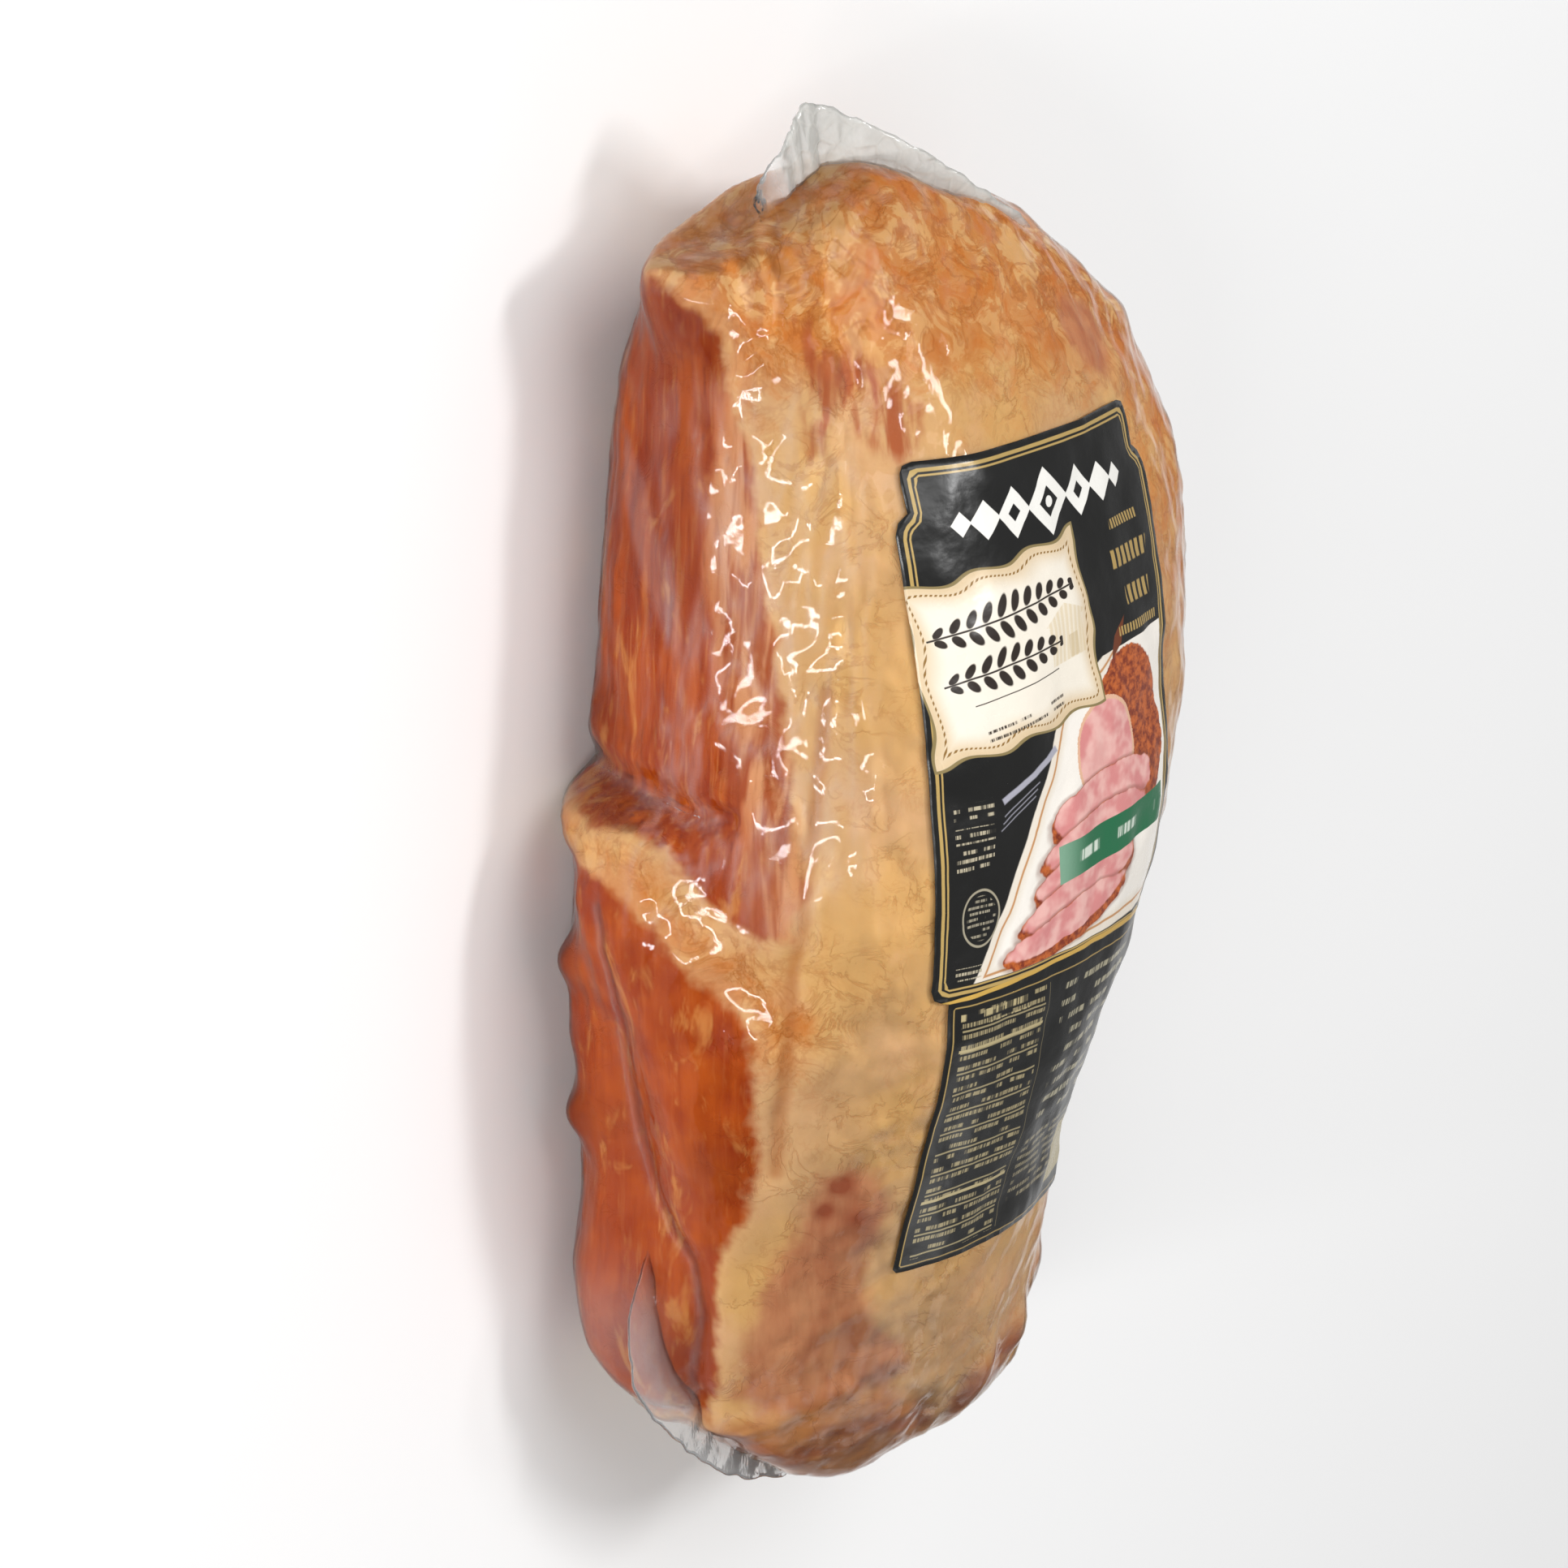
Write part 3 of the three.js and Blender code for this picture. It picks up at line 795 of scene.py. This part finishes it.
smoke = ham.noted("smoke")
patchy = ham.cloud(spot, 13, 5, 0.62, 0.3)
veins = wisps(11, 0.030, 0.8) * ham.cloud(spot, 17, 2).between(0.40, 0.62)
fine_veins = wisps(5, 0.045, 0.8) * ham.cloud(spot, 11, 2).between(0.45, 0.65)
fat = ham.mix((veins + fine_veins * 0.7) * (0.26 + 0.4 * smoke), fat, MEAT["vein"])
browned = (smoke * 1.15 + patchy - 0.80).between(0.0, 0.55)
fat = ham.mix(browned * 0.62, fat, MEAT["amber"])
fat = ham.mix((browned * patchy.between(0.5, 0.68)) * 0.35, fat, MEAT["umber"])
marble = ham.cloud(spot, 11, 5, 0.62, 0.9)
fat = ham.mix(smoke * marble.between(0.52, 0.60) * 0.65, fat, MEAT["toast"])
fat = ham.mix(smoke * (1 - marble.between(0.40, 0.47)) * 0.75, fat, MEAT["light_fat"])
fat = ham.mix(smoke * wisps(13, 0.045, 0.9) * 0.5, fat, MEAT["wrinkle"])
fat = ham.mix((1 - ham.noted("seam").between(0.3, 2.6)) * 0.5, fat, MEAT["seam"])

# %% Lean
fibrous = ham.noted("fibrous")
blotches = ham.cloud(spot, 14, 4).between(0.35, 0.65) * (1 - fibrous)
bright = coarse_fibre.between(0.32, 0.68) * fibrous + blotches
red = ham.mix(bright, MEAT["mahogany"], MEAT["rust"])
red = ham.mix(ham.cloud(spot, 24, 4, 0.6).between(0.42, 0.68) * 0.7, red, MEAT["brick"])
red = ham.mix(fibre.between(0.54, 0.70) * fibrous * 0.4, red, MEAT["light_fibre"])
red = ham.mix((1 - fibre.between(0.30, 0.46)) * fibrous * 0.5, red, MEAT["dark_fibre"])
golden = ham.cloud(spot, (9, 26, 9), 4, 0.62, 0.6).between(0.54, 0.68)
red = ham.mix(golden * 0.65, red, MEAT["golden"])
red = ham.mix(ham.noted("dark") * 0.75, red, MEAT["bruise"])
veiled = ham.mix(coarse_fibre.between(0.40, 0.60), MEAT["veiled"], MEAT["veil"])
red = ham.mix(veil * 0.85, red, veiled)
pink = ham.mix(coarse_fibre.between(0.3, 0.7), MEAT["rose"], MEAT["pale_rose"])
pink = ham.mix((ham.noted("dark") * 1.6).least(0.85), pink, MEAT["wine"])
# Painted shade: a dark line along the bag's crease, where the film presses the meat in
red = ham.mix((1 - ham.noted("crease").between(0.2, 1.8)) * 0.55, red, MEAT["crease"])
skin = ham.mix(streaks * 0.9, fat, MEAT["streak"])
skin = ham.mix(window * 0.9, skin, pink)
cut_end = ham.cloud(spot, (22, 9, 16), 2, 0.5, 0.4).between(0.36, 0.64)
flesh = ham.mix(cut_end, MEAT["cut_dark"], MEAT["cut_light"])
skin = ham.mix((ham.noted("end") + ragged).between(-6.0, 5.0) * 0.85, skin, flesh)
rim = (ham.noted("lean") + ragged).between(-5.5, -1.0) * (1 - lean)
skin = ham.mix(rim * 0.35, skin, MEAT["rim"])
colour = ham.mix(lean, skin, red)

# %% [markdown]
# Moist meat would shine by itself, but here the film over it does the shining. So the meat's own
# gloss is low, and its fibres, pores and veins are a fine relief under it.

# %% The moist surface
relief = fibre * lean * 0.5 + patchy * 0.5 + ham.cloud(spot, 1.6, 3) * 0.35 - veins * 0.5
body = ham.add("BsdfPrincipled", {
    "Base Color": colour,
    "Roughness": 0.34 + 0.16 * patchy,
    "Specular IOR Level": 0.05,
    "Subsurface Weight": 0.08,
    "Subsurface Radius": (1.0, 0.42, 0.2),
    "Subsurface Scale": 0.0035,
    "Normal": ham.add("Bump", {"Height": relief, "Strength": 0.5, "Distance": 0.0007}),
})
ham.cover(meat, body)

# %% [markdown]
# ## The finish of clear film
# Clear film shows what is under it and mirrors the lamps, more so at a slant. A Transparent shader
# is mixed with a mirror by the Fresnel share, which is what such a surface does. Where the film
# is slack or doubled it is milky: there, more of it shows, and it is white instead of a mirror.

# %% The film
MILKY = shade("D8D7D2")
wrap = Finish("clear_film")
spot = wrap.add("TexCoord", output=3)
fine = wrap.cloud(spot, (4.5, 9, 4.5), 3, 0.55, 0.6)
finer = wrap.cloud(spot, (2.0, 4.5, 2.0), 2, 0.5, 0.8)
crumple = wrap.add("TexVoronoi", {"Vector": spot, "Scale": 210.0}, feature="DISTANCE_TO_EDGE")
# The milk note is real haze, plus the pale wedge on the left, which is a painted reflection
milk_and_reflection = wrap.noted("milk")
creases = (1 - crumple.between(0.0, 0.16)) * milk_and_reflection.between(0.3, 0.6)
height = fine * 0.35 + finer * 0.1 + creases * 0.4
normal = wrap.add("Bump", {"Height": height, "Strength": 0.30, "Distance": 0.0009})
mirror = wrap.add("Fresnel", {"IOR": 1.27, "Normal": normal})
cloud_and_reflection = (milk_and_reflection * (0.72 + 0.5 * fine) + creases * 0.12).most(0.0).least(0.9)
shows = (mirror + cloud_and_reflection).least(1.0)
gloss = wrap.add("BsdfPrincipled", {
    "Base Color": wrap.mix(cloud_and_reflection.between(0.0, 0.7), (1, 1, 1, 1), MILKY),
    "Metallic": mirror / (mirror + cloud_and_reflection),
    "Roughness": 0.06 + 0.14 * cloud_and_reflection,
    "Normal": normal,
})
clear = wrap.add("BsdfTransparent", {"Color": (1, 1, 1, 1)})
wrap.cover(film, wrap.add("MixShader", {0: shows, 1: clear, 2: gloss}))

# %% [markdown]
# ## The printing on the label
# Nothing on the label says anything: the printing is all plain shapes, laid out as on such
# labels. Each shape is an expression on the flat drawing's x and y in millimetres that is positive
# inside the shape, and layers of colour are mixed over each other, from the back to the front.

# %% The inks
INK = palette(
    black="131312", gold="B79A5C", white="F2F0EA", dish="E9DFD0", dish_line="C48F5E",
    dish_light="F5EFE6", dark_crust="7A2A12", light_crust="C4642A", dark_pink="D88A88",
    light_pink="EDB8B0", twig="6B3418", cut_edge="E3B596", shine="F0C4BA", shadow="7B3B22",
    steel="A9A8B4", plaque_edge="8B7A50", plaque="F1E9DA", tan="D2B078", dots="8F6B33",
    barn="D9C49B", door="BFA777", brown="2A211B", soft_brown="3B3128", grey_gold="B8AE95",
    seal="A39B86", pale_green="7FA88E", green="1E6B45", on_green="D5E0D2", bright_gold="C9A24E",
    small_gold="9C8F6C", bold_gold="B5A67C", rule="8F8260", small_grey="A7A087",
    dim_grey="8E8468", box="A89A70",
)
print("label:", len(INK), "inks")

# %% Where x and y are on the drawing
printed = Finish("printed_paper")
flat_place = printed.add("UVMap", uv_map="flat")
split = printed.tree.nodes.new("ShaderNodeSeparateXYZ")
printed.tree.links.new(flat_place.socket, split.inputs[0])
X = Field(printed, split.outputs[0]) * SHEET - LEFT_OF_SHEET
Y = Field(printed, split.outputs[1]) * SHEET - FOOT_OF_SHEET


# %% Shapes that can be printed
def sharp(depth, blur=0.22):
    return depth.between(0.0, blur)


def turned(cx, cy, angle):
    """x and y from a centre, turned anticlockwise by an angle."""
    c, s = math.cos(math.radians(angle)), math.sin(math.radians(angle))
    dx, dy = X - cx, Y - cy
    return dx * c + dy * s, dy * c - dx * s


def oblong(cx, cy, wide, tall, angle=0):
    u, v = turned(cx, cy, angle)
    return (wide / 2 - abs(u)).least(tall / 2 - abs(v))


def oval(cx, cy, wide, tall, angle=0):
    u, v = turned(cx, cy, angle)
    u, v = u / (wide / 2), v / (tall / 2)
    return (1 - (u * u + v * v) ** 0.5) * (min(wide, tall) / 2)


def lozenge(cx, cy, wide, tall, angle=0):
    u, v = turned(cx, cy, angle)
    return (1 - abs(u) / (wide / 2) - abs(v) / (tall / 2)) * (min(wide, tall) / 2.8)


def below(ax, ay, bx, by):
    """Distance under the line from a to b, with a on the left."""
    length = math.hypot(bx - ax, by - ay)
    return (X - ax) * ((by - ay) / length) - (Y - ay) * ((bx - ax) / length)


# %% Patterns that can be printed
def bars(across, pitch, low, high):
    """Even bars; low and high, under 0.5, are where one starts and is full."""
    return (0.5 - abs((across / pitch).part() - 0.5)).between(low, high)


def blots(x, y, z=0.0, scale=1.0, detail=0.0, rough=0.5):
    at = printed.add("CombineXYZ", {0: x, 1: y, 2: z})
    settings = {"Vector": at, "Scale": scale, "Detail": detail, "Roughness": rough}
    return printed.add("TexNoise", settings)


def dummy_print(area, u, v, pitch, seed, heavy=0.5):
    """Rows of small dashes of uneven length, which stand for print too small to read."""
    rows = bars(v, pitch, 0.5 - heavy * 0.46, 0.5 - heavy * 0.30)
    row = (v / pitch).whole()
    words = blots(u / (pitch * 1.9), row * 3.7, seed).between(0.40, 0.44)
    marks = blots(u / (pitch * 0.16), row * 5.1, seed + 9).between(0.40, 0.54)
    return sharp(area) * rows * words * (0.15 + 0.85 * marks)


# %% Layers of ink
layers = [INK["black"]]


def lay(share, colour):
    """Prints a colour over all that is there, where the share is above 0."""
    layers.append(printed.mix(share, layers[-1], colour))


# %% [markdown]
# The ground is black, with two gold lines that follow the stepped edge. How deep a point lies
# inside the outline was noted on the mesh, so a line along the edge is a band of that depth. At
# the head, where such a label would say who made it, is a row of plain lozenges.

# %% Black ground, gold lines
front, panel = printed.noted("front"), printed.noted("panel")
on_front = sharp(Y + (FRONT_LONG + 0.2))
for inner, outer in ((1.6, 2.5), (3.1, 3.6)):
    lay(sharp(front - inner) * (1 - sharp(front - outer)) * on_front, INK["gold"])
lay(sharp(panel - 1.3) * (1 - sharp(panel - 1.65)) * (1 - on_front) * 0.8, INK["gold"])
print("label:", len(layers), "layers of ink")

# %% The white ornament at the head
for cx, wide, tall in ((0, 17, 17), (-13.5, 12, 13), (13.5, 12, 13), (-23.5, 10, 10),
                       (23.5, 10, 10), (-31, 6.5, 6.5), (31, 6.5, 6.5)):
    lay(sharp(lozenge(cx - 0.5, -16, wide, tall)), INK["white"])
for cx, wide, tall in ((0, 8, 8), (-13.5, 4.5, 4.8), (13.5, 4.5, 4.8)):
    lay(sharp(lozenge(cx - 0.5, -16, wide, tall)), INK["black"])
lay(sharp(oval(-0.5, -16, 3, 3)), INK["white"])
print("label:", len(layers), "layers of ink")

# %% [markdown]
# The serving picture is laid like a paper collage: the dish first, then the roast, its cut face
# and the slices in front of it. Each is an oval whose edge is frayed a little by noise, and all
# stay inside the gold lines.

# %% The dish
GOLD_LINES = 3.8  # mm from the edge of the label to just inside its gold lines
in_frame = sharp(front - GOLD_LINES)
dish = below(-39, -134, -6, -66).least(below(-6, -66, 12, -57.5))
dish = dish.least(sharp(front - 0.2, 0.4) * 60 - 30).least(Y + 131.8 - (X + 36) * 0.03)
on_dish = sharp(dish, 0.5) * in_frame * (1 - sharp(Y + 57.5 - (X - 12) * 0.05))
lay(on_dish, INK["dish"])
lay(on_dish * sharp(dish - 2.2, 0.4) * (1 - sharp(dish - 2.9, 0.4)), INK["dish_line"])
lay(on_dish * sharp(dish - 3.0, 3.0), INK["dish_light"])
print("label:", len(layers), "layers of ink")

# %% The roast on the dish
mottle = blots(X, Y, scale=0.42, detail=4.0, rough=0.65)
soft_edge = blots(X, Y, scale=0.16, detail=2.0)
grainy = blots(X, Y, scale=1.6, detail=3.0)
crust = printed.mix(mottle.between(0.36, 0.64), INK["dark_crust"], INK["light_crust"])
pinks = printed.mix(soft_edge.between(0.36, 0.66), INK["dark_pink"], INK["light_pink"])
lay(sharp(lozenge(21, -55, 14, 4.0, 52)) * in_frame, INK["twig"])
roast = oval(24, -75, 34, 36, -18).most(oval(30, -86, 28, 34, 0))
roast = roast + (mottle - 0.5) * 2.5
lay(sharp(roast, 0.5) * in_frame, crust)
face = oval(13, -81.5, 25, 27, 24) + (grainy - 0.5) * 0.8
lay(sharp(face + 1.0), INK["cut_edge"])
lay(sharp(face), pinks)
lay(sharp(oval(10, -82.5, 13, 20, 12), 5.0) * 0.45, INK["shine"])
print("label:", len(layers), "layers of ink")

# %% The slices in front of it
for cx, cy, wide, tall, angle in (
    (13, -95, 50, 19, 5), (10, -102.5, 50, 16, 8), (6, -109.5, 48, 15, 10),
    (3, -116.5, 52, 15, 11), (-1, -123, 54, 12, 10),
):
    cut = oval(cx, cy, wide, tall, angle) + (soft_edge - 0.5) * 2.0
    lay(sharp(cut + 0.9, 0.9) * in_frame * 0.45, INK["shadow"])
    lay(sharp(cut) * in_frame, crust)
    upper = oval(cx, cy + 1.3, wide - 2.2, tall - 2.8, angle) + (soft_edge - 0.5) * 2.0
    lay(sharp(upper, 0.4) * in_frame, pinks)
print("label:", len(layers), "layers of ink")

# %% Knife and fork
for cx, cy, wide, tall, angle in (
    (-18.5, -80.2, 22, 2.2, 26), (-22, -85.5, 14, 0.7, 28), (-22.6, -87.2, 14, 0.7, 28),
    (-23.2, -88.9, 14, 0.7, 28),
):
    lay(sharp(oblong(cx, cy, wide, tall, angle), 0.5), INK["steel"])
print("label:", len(layers), "layers of ink")

# %% [markdown]
# The cream plaque would carry a name. Here it has two sprigs of leaves and a faint barn. Its wavy
# edge is an oblong with a sine added, and its border of stitches is a band cut up by even bars.

# %% The plaque with its dotted border
waves = printed.add("Math", {0: (X + Y) * 0.30}, operation="SINE") * 0.9
plaque = oblong(-19.5, -49, 58, 43, 6) + waves
edge_glow = 1 - plaque.between(0.0, 7.5)
lay(sharp(plaque + 0.8), INK["plaque_edge"])
lay(sharp(plaque), INK["plaque"])
lay(sharp(plaque) * edge_glow * 0.7, INK["tan"])
dots = bars(X - Y * 0.6, 1.35, 0.16, 0.30)
lay(sharp(plaque - 1.7) * (1 - sharp(plaque - 2.3)) * dots, INK["dots"])
print("label:", len(layers), "layers of ink")

# %% A faint barn and two sprigs on the plaque
barn = oblong(-1, -50, 14, 10, 6).most(lozenge(-1, -44.5, 17, 8, 6))
boards = bars(X, 1.7, 0.12, 0.3)
lay(sharp(barn) * (0.25 + 0.35 * boards), INK["barn"])
lay(sharp(oblong(1.5, -51.5, 4, 6, 6)) * 0.45, INK["door"])


def sprig(cx, cy, wide, tall, angle, apart):
    """A stem with a pair of slanted leaves at even distances, smaller towards the ends."""
    u, v = turned(cx, cy, angle)
    bow = v + (u * u) * (1.6 / (wide * wide))
    size = (1.04 - abs(u) / (wide / 2)).most(0.03) ** 0.5
    along = ((u / apart).part() - 0.5) * apart - abs(bow) * 0.5 + tall * 0.12
    across = (abs(bow) - size * (tall * 0.25)) / (size * (tall * 0.24))
    along = along / (apart * 0.36)
    leaf = 1 - (along * along + across * across) ** 0.5
    stem = (0.35 - abs(bow)).least(wide / 2 - abs(u))
    return sharp(leaf).most(sharp(stem)) * sharp(wide / 2 - abs(u))


for place in ((-21, -39.5, 50, 12, 7, 4.6), (-23, -51.5, 40, 11, 7, 4.6)):
    lay(sprig(*place), INK["brown"])
lay(sharp(oblong(-20, -58, 30, 0.5, 7)), INK["brown"])
u, v = turned(-18, -66, 8)
lay(dummy_print((14 - abs(u)).least(1.5 - abs(v)), u, v + 60.9, 2.9, 4.0, 0.75), INK["soft_brown"])
print("label:", len(layers), "layers of ink")

# %% [markdown]
# Small print is set as rows of dashes, in blocks as wide as real ones. Noise cuts each row into
# words and each word into marks, so that it looks like print from afar and says nothing close up.

# %% Dummy print on the black
for cx, cy, wide, pitch in ((31, -27, 15, 4.2), (31.5, -35.5, 20, 8.0), (34, -45.6, 13, 8.0),
                            (32.5, -53.5, 21, 4.0)):
    area = oblong(cx, cy, wide, pitch)
    marks = bars(X + Y * 0.15, pitch * 0.34, 0.16, 0.24)
    tops = (0.5 - abs((Y - cy) / pitch)).between(0.18, 0.24)
    lay(sharp(area) * marks * tops * 0.9, INK["gold"])
for cy, count in ((-85.5, 2), (-91.5, 2), (-98, 3)):
    area = oblong(-37, cy, 12, count * 2.1)
    lay(dummy_print(area, X, Y, 2.1, cy, 0.6), INK["grey_gold"])
lay(sharp(0.35 - abs(oval(-35.4, -113.2, 11.5, 14.5))), INK["seal"])
lay(dummy_print(oval(-35.4, -113.2, 9.6, 12), X, Y, 1.5, 8.0, 0.6), INK["seal"])
lay(dummy_print(oblong(-38.5, -127, 8, 3.6), X, Y, 1.8, 2.0, 0.6), INK["grey_gold"])
print("label:", len(layers), "layers of ink")

# %% The green band
u, v = turned(18, -104.5, 4)
band = (26 - abs(u)).least(5.2 - abs(v)).least(front - GOLD_LINES)
green = printed.mix(u.between(-26, -12), INK["pale_green"], INK["green"])
lay(sharp(band), green)
row = (21 - abs(u - 1)).least(2.6 - abs(v))
lay(dummy_print(row, u, v + 101.75, 5.5, 3.0, 0.7), INK["on_green"])
print("label:", len(layers), "layers of ink")

# %% Gold curve and the panel of small print
sweep = Y + 132.6 - (X + 36) * 0.025 + (X * X) * 0.0006
lay(sharp(0.7 - abs(sweep)) * on_front, INK["bright_gold"])
low = 1 - on_front
left, right = oblong(-25, -172, 30, 70), oblong(17, -160, 38, 42)
lay(dummy_print(left, X, Y, 2.9, 1.0, 0.52) * low, INK["small_gold"])
lay(dummy_print(oblong(-28, -139.5, 25, 4.0), X, Y + 200.2, 4.0, 6.0, 0.8) * low, INK["bold_gold"])
rules = bars(Y, 5.8, 0.44, 0.48) * sharp(left)
lay(rules * low * 0.7, INK["bold_gold"])
lay(sharp(oblong(-25, -147.4, 31, 1.0)), INK["bold_gold"])
lay(sharp(oblong(-25, -190.5, 31, 1.1)), INK["bold_gold"])
lay(sharp(oblong(-8.3, -172, 0.35, 70)) * low, INK["rule"])
slanted = X - Y * 0.25
lay(dummy_print(right, slanted, Y, 4.6, 7.0, 0.46) * low, INK["small_grey"])
lay(dummy_print(oblong(10, -192, 30, 20), slanted, Y, 2.4, 8.0, 0.6) * low, INK["dim_grey"])
lay(sharp(oblong(30, -196, 22, 18)) * low, INK["box"])
print("label printing:", len(printed.tree.nodes), "nodes")

# %% The label's paper
at = printed.add("TexCoord", output=3)
wave = printed.cloud(at, 7, 2) + printed.cloud(at, 2.5, 2) * 0.3
paper = printed.add("BsdfPrincipled", {
    "Base Color": layers[-1],
    "Roughness": 0.22 + 0.12 * printed.cloud(at, 12, 3),
    "Specular IOR Level": 0.5,
    "Normal": printed.add("Bump", {"Height": wave, "Strength": 0.25, "Distance": 0.0008}),
})
printed.cover(label, paper)

# %% [markdown]
# ## Each piece takes its place
# The meat, the bag and the label each stand for their own CAD body and ride on the one body of a
# part that has no joints.

# %% Tie the pieces to the frame
for piece, node, finish in (
    (meat, "smoked_ham", "cured_meat"), (film, "film_bag", "clear_film"),
    (label, "label", "printed_label"),
):
    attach(piece, "root")
    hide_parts(node)
    print(piece.name, "stands for", node)

# %% [markdown]
# ## Floor, light and camera
# The ham lies on a pale floor that fills the view. One long soft lamp at the left draws the bright
# line down the ridge of the bag, a large one overhead fills the front, and the world is pale,
# so that the shadows stay soft.

# %% Floor
bpy.context.scene.view_settings.view_transform = "Standard"
bpy.ops.mesh.primitive_plane_add(size=14, location=(0, 0, 0))
floor = bpy.context.object
floor.name = "floor"
PALE, PALER = shade("F6F6F6"), shade("FAFAFA")
ground = Finish("pale_floor")
at = ground.add("TexCoord", output=3)
tone = ground.mix(ground.cloud(at, 900, 2) * 0.3, PALER, PALE)
ground.cover(floor, ground.add("BsdfPrincipled", {
    "Base Color": tone, "Roughness": 0.8, "Specular IOR Level": 0.1,
}))
floor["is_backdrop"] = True

# %% Lamps
world = bpy.data.worlds.new("soft_day")
bpy.context.scene.world = world
world.use_nodes = True
world.node_tree.nodes["Background"].inputs["Color"].default_value = (1, 1, 1, 1)
world.node_tree.nodes["Background"].inputs["Strength"].default_value = 0.31


def lamp(name, direction, distance, wide, tall, power, at=(0, 0, 0.05)):
    way = Vector(direction).normalized()
    bpy.ops.object.light_add(type="AREA", location=Vector(at) + way * distance)
    light = bpy.context.object
    light.name = name
    light.rotation_euler = way.to_track_quat("Z", "Y").to_euler()
    light.data.shape, light.data.size, light.data.size_y = "RECTANGLE", wide, tall
    light.data.energy = power


lamp("ridge_lamp", (-0.97, 0.02, 0.25), 1.5, 0.09, 1.1, 13.5)
lamp("window_lamp", (0.16, 0.33, 0.93), 1.7, 0.20, 0.40, 9)
lamp("fill_lamp", (-0.3, 0.9, 1.3), 2.6, 1.6, 1.6, 25)
lamp("foot_lamp", (0.3, -1.0, 0.7), 2.2, 1.2, 1.2, 5)

# %% Camera
DISTANCE = 1.45  # m, far enough for the even look of a long lens
AIM = Vector((-0.0149, -0.0045, 0.0323))
TOWARDS = Vector((-0.7495, 0.3090, 0.5856)).normalized()
up = (Vector((0, 1, 0)) - TOWARDS * TOWARDS.y).normalized()
right = up.cross(TOWARDS)
print("camera looks down at", round(math.degrees(math.asin(TOWARDS.z))), "degrees")
eye = bpy.data.objects.new("camera", bpy.data.cameras.new("camera"))
bpy.context.scene.collection.objects.link(eye)
eye.data.lens, eye.data.sensor_width = 130, 36
turn = Matrix((right, up, TOWARDS)).transposed().to_4x4()
eye.matrix_world = Matrix.Translation(AIM + TOWARDS * DISTANCE) @ turn
bpy.context.scene.camera = eye

# %% [markdown]
# Sculpting and film change the size a little, so the box round the CAD and the box round the
# finished pieces are written down side by side.

# %% Sizes of the finished model
new_low, new_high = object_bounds()
grown = [(a - b) / MM for a, b in zip((*new_low, *new_high), (*cad_low, *cad_high))]
print("grown by", [round(g, 1) for g in grown], "mm")
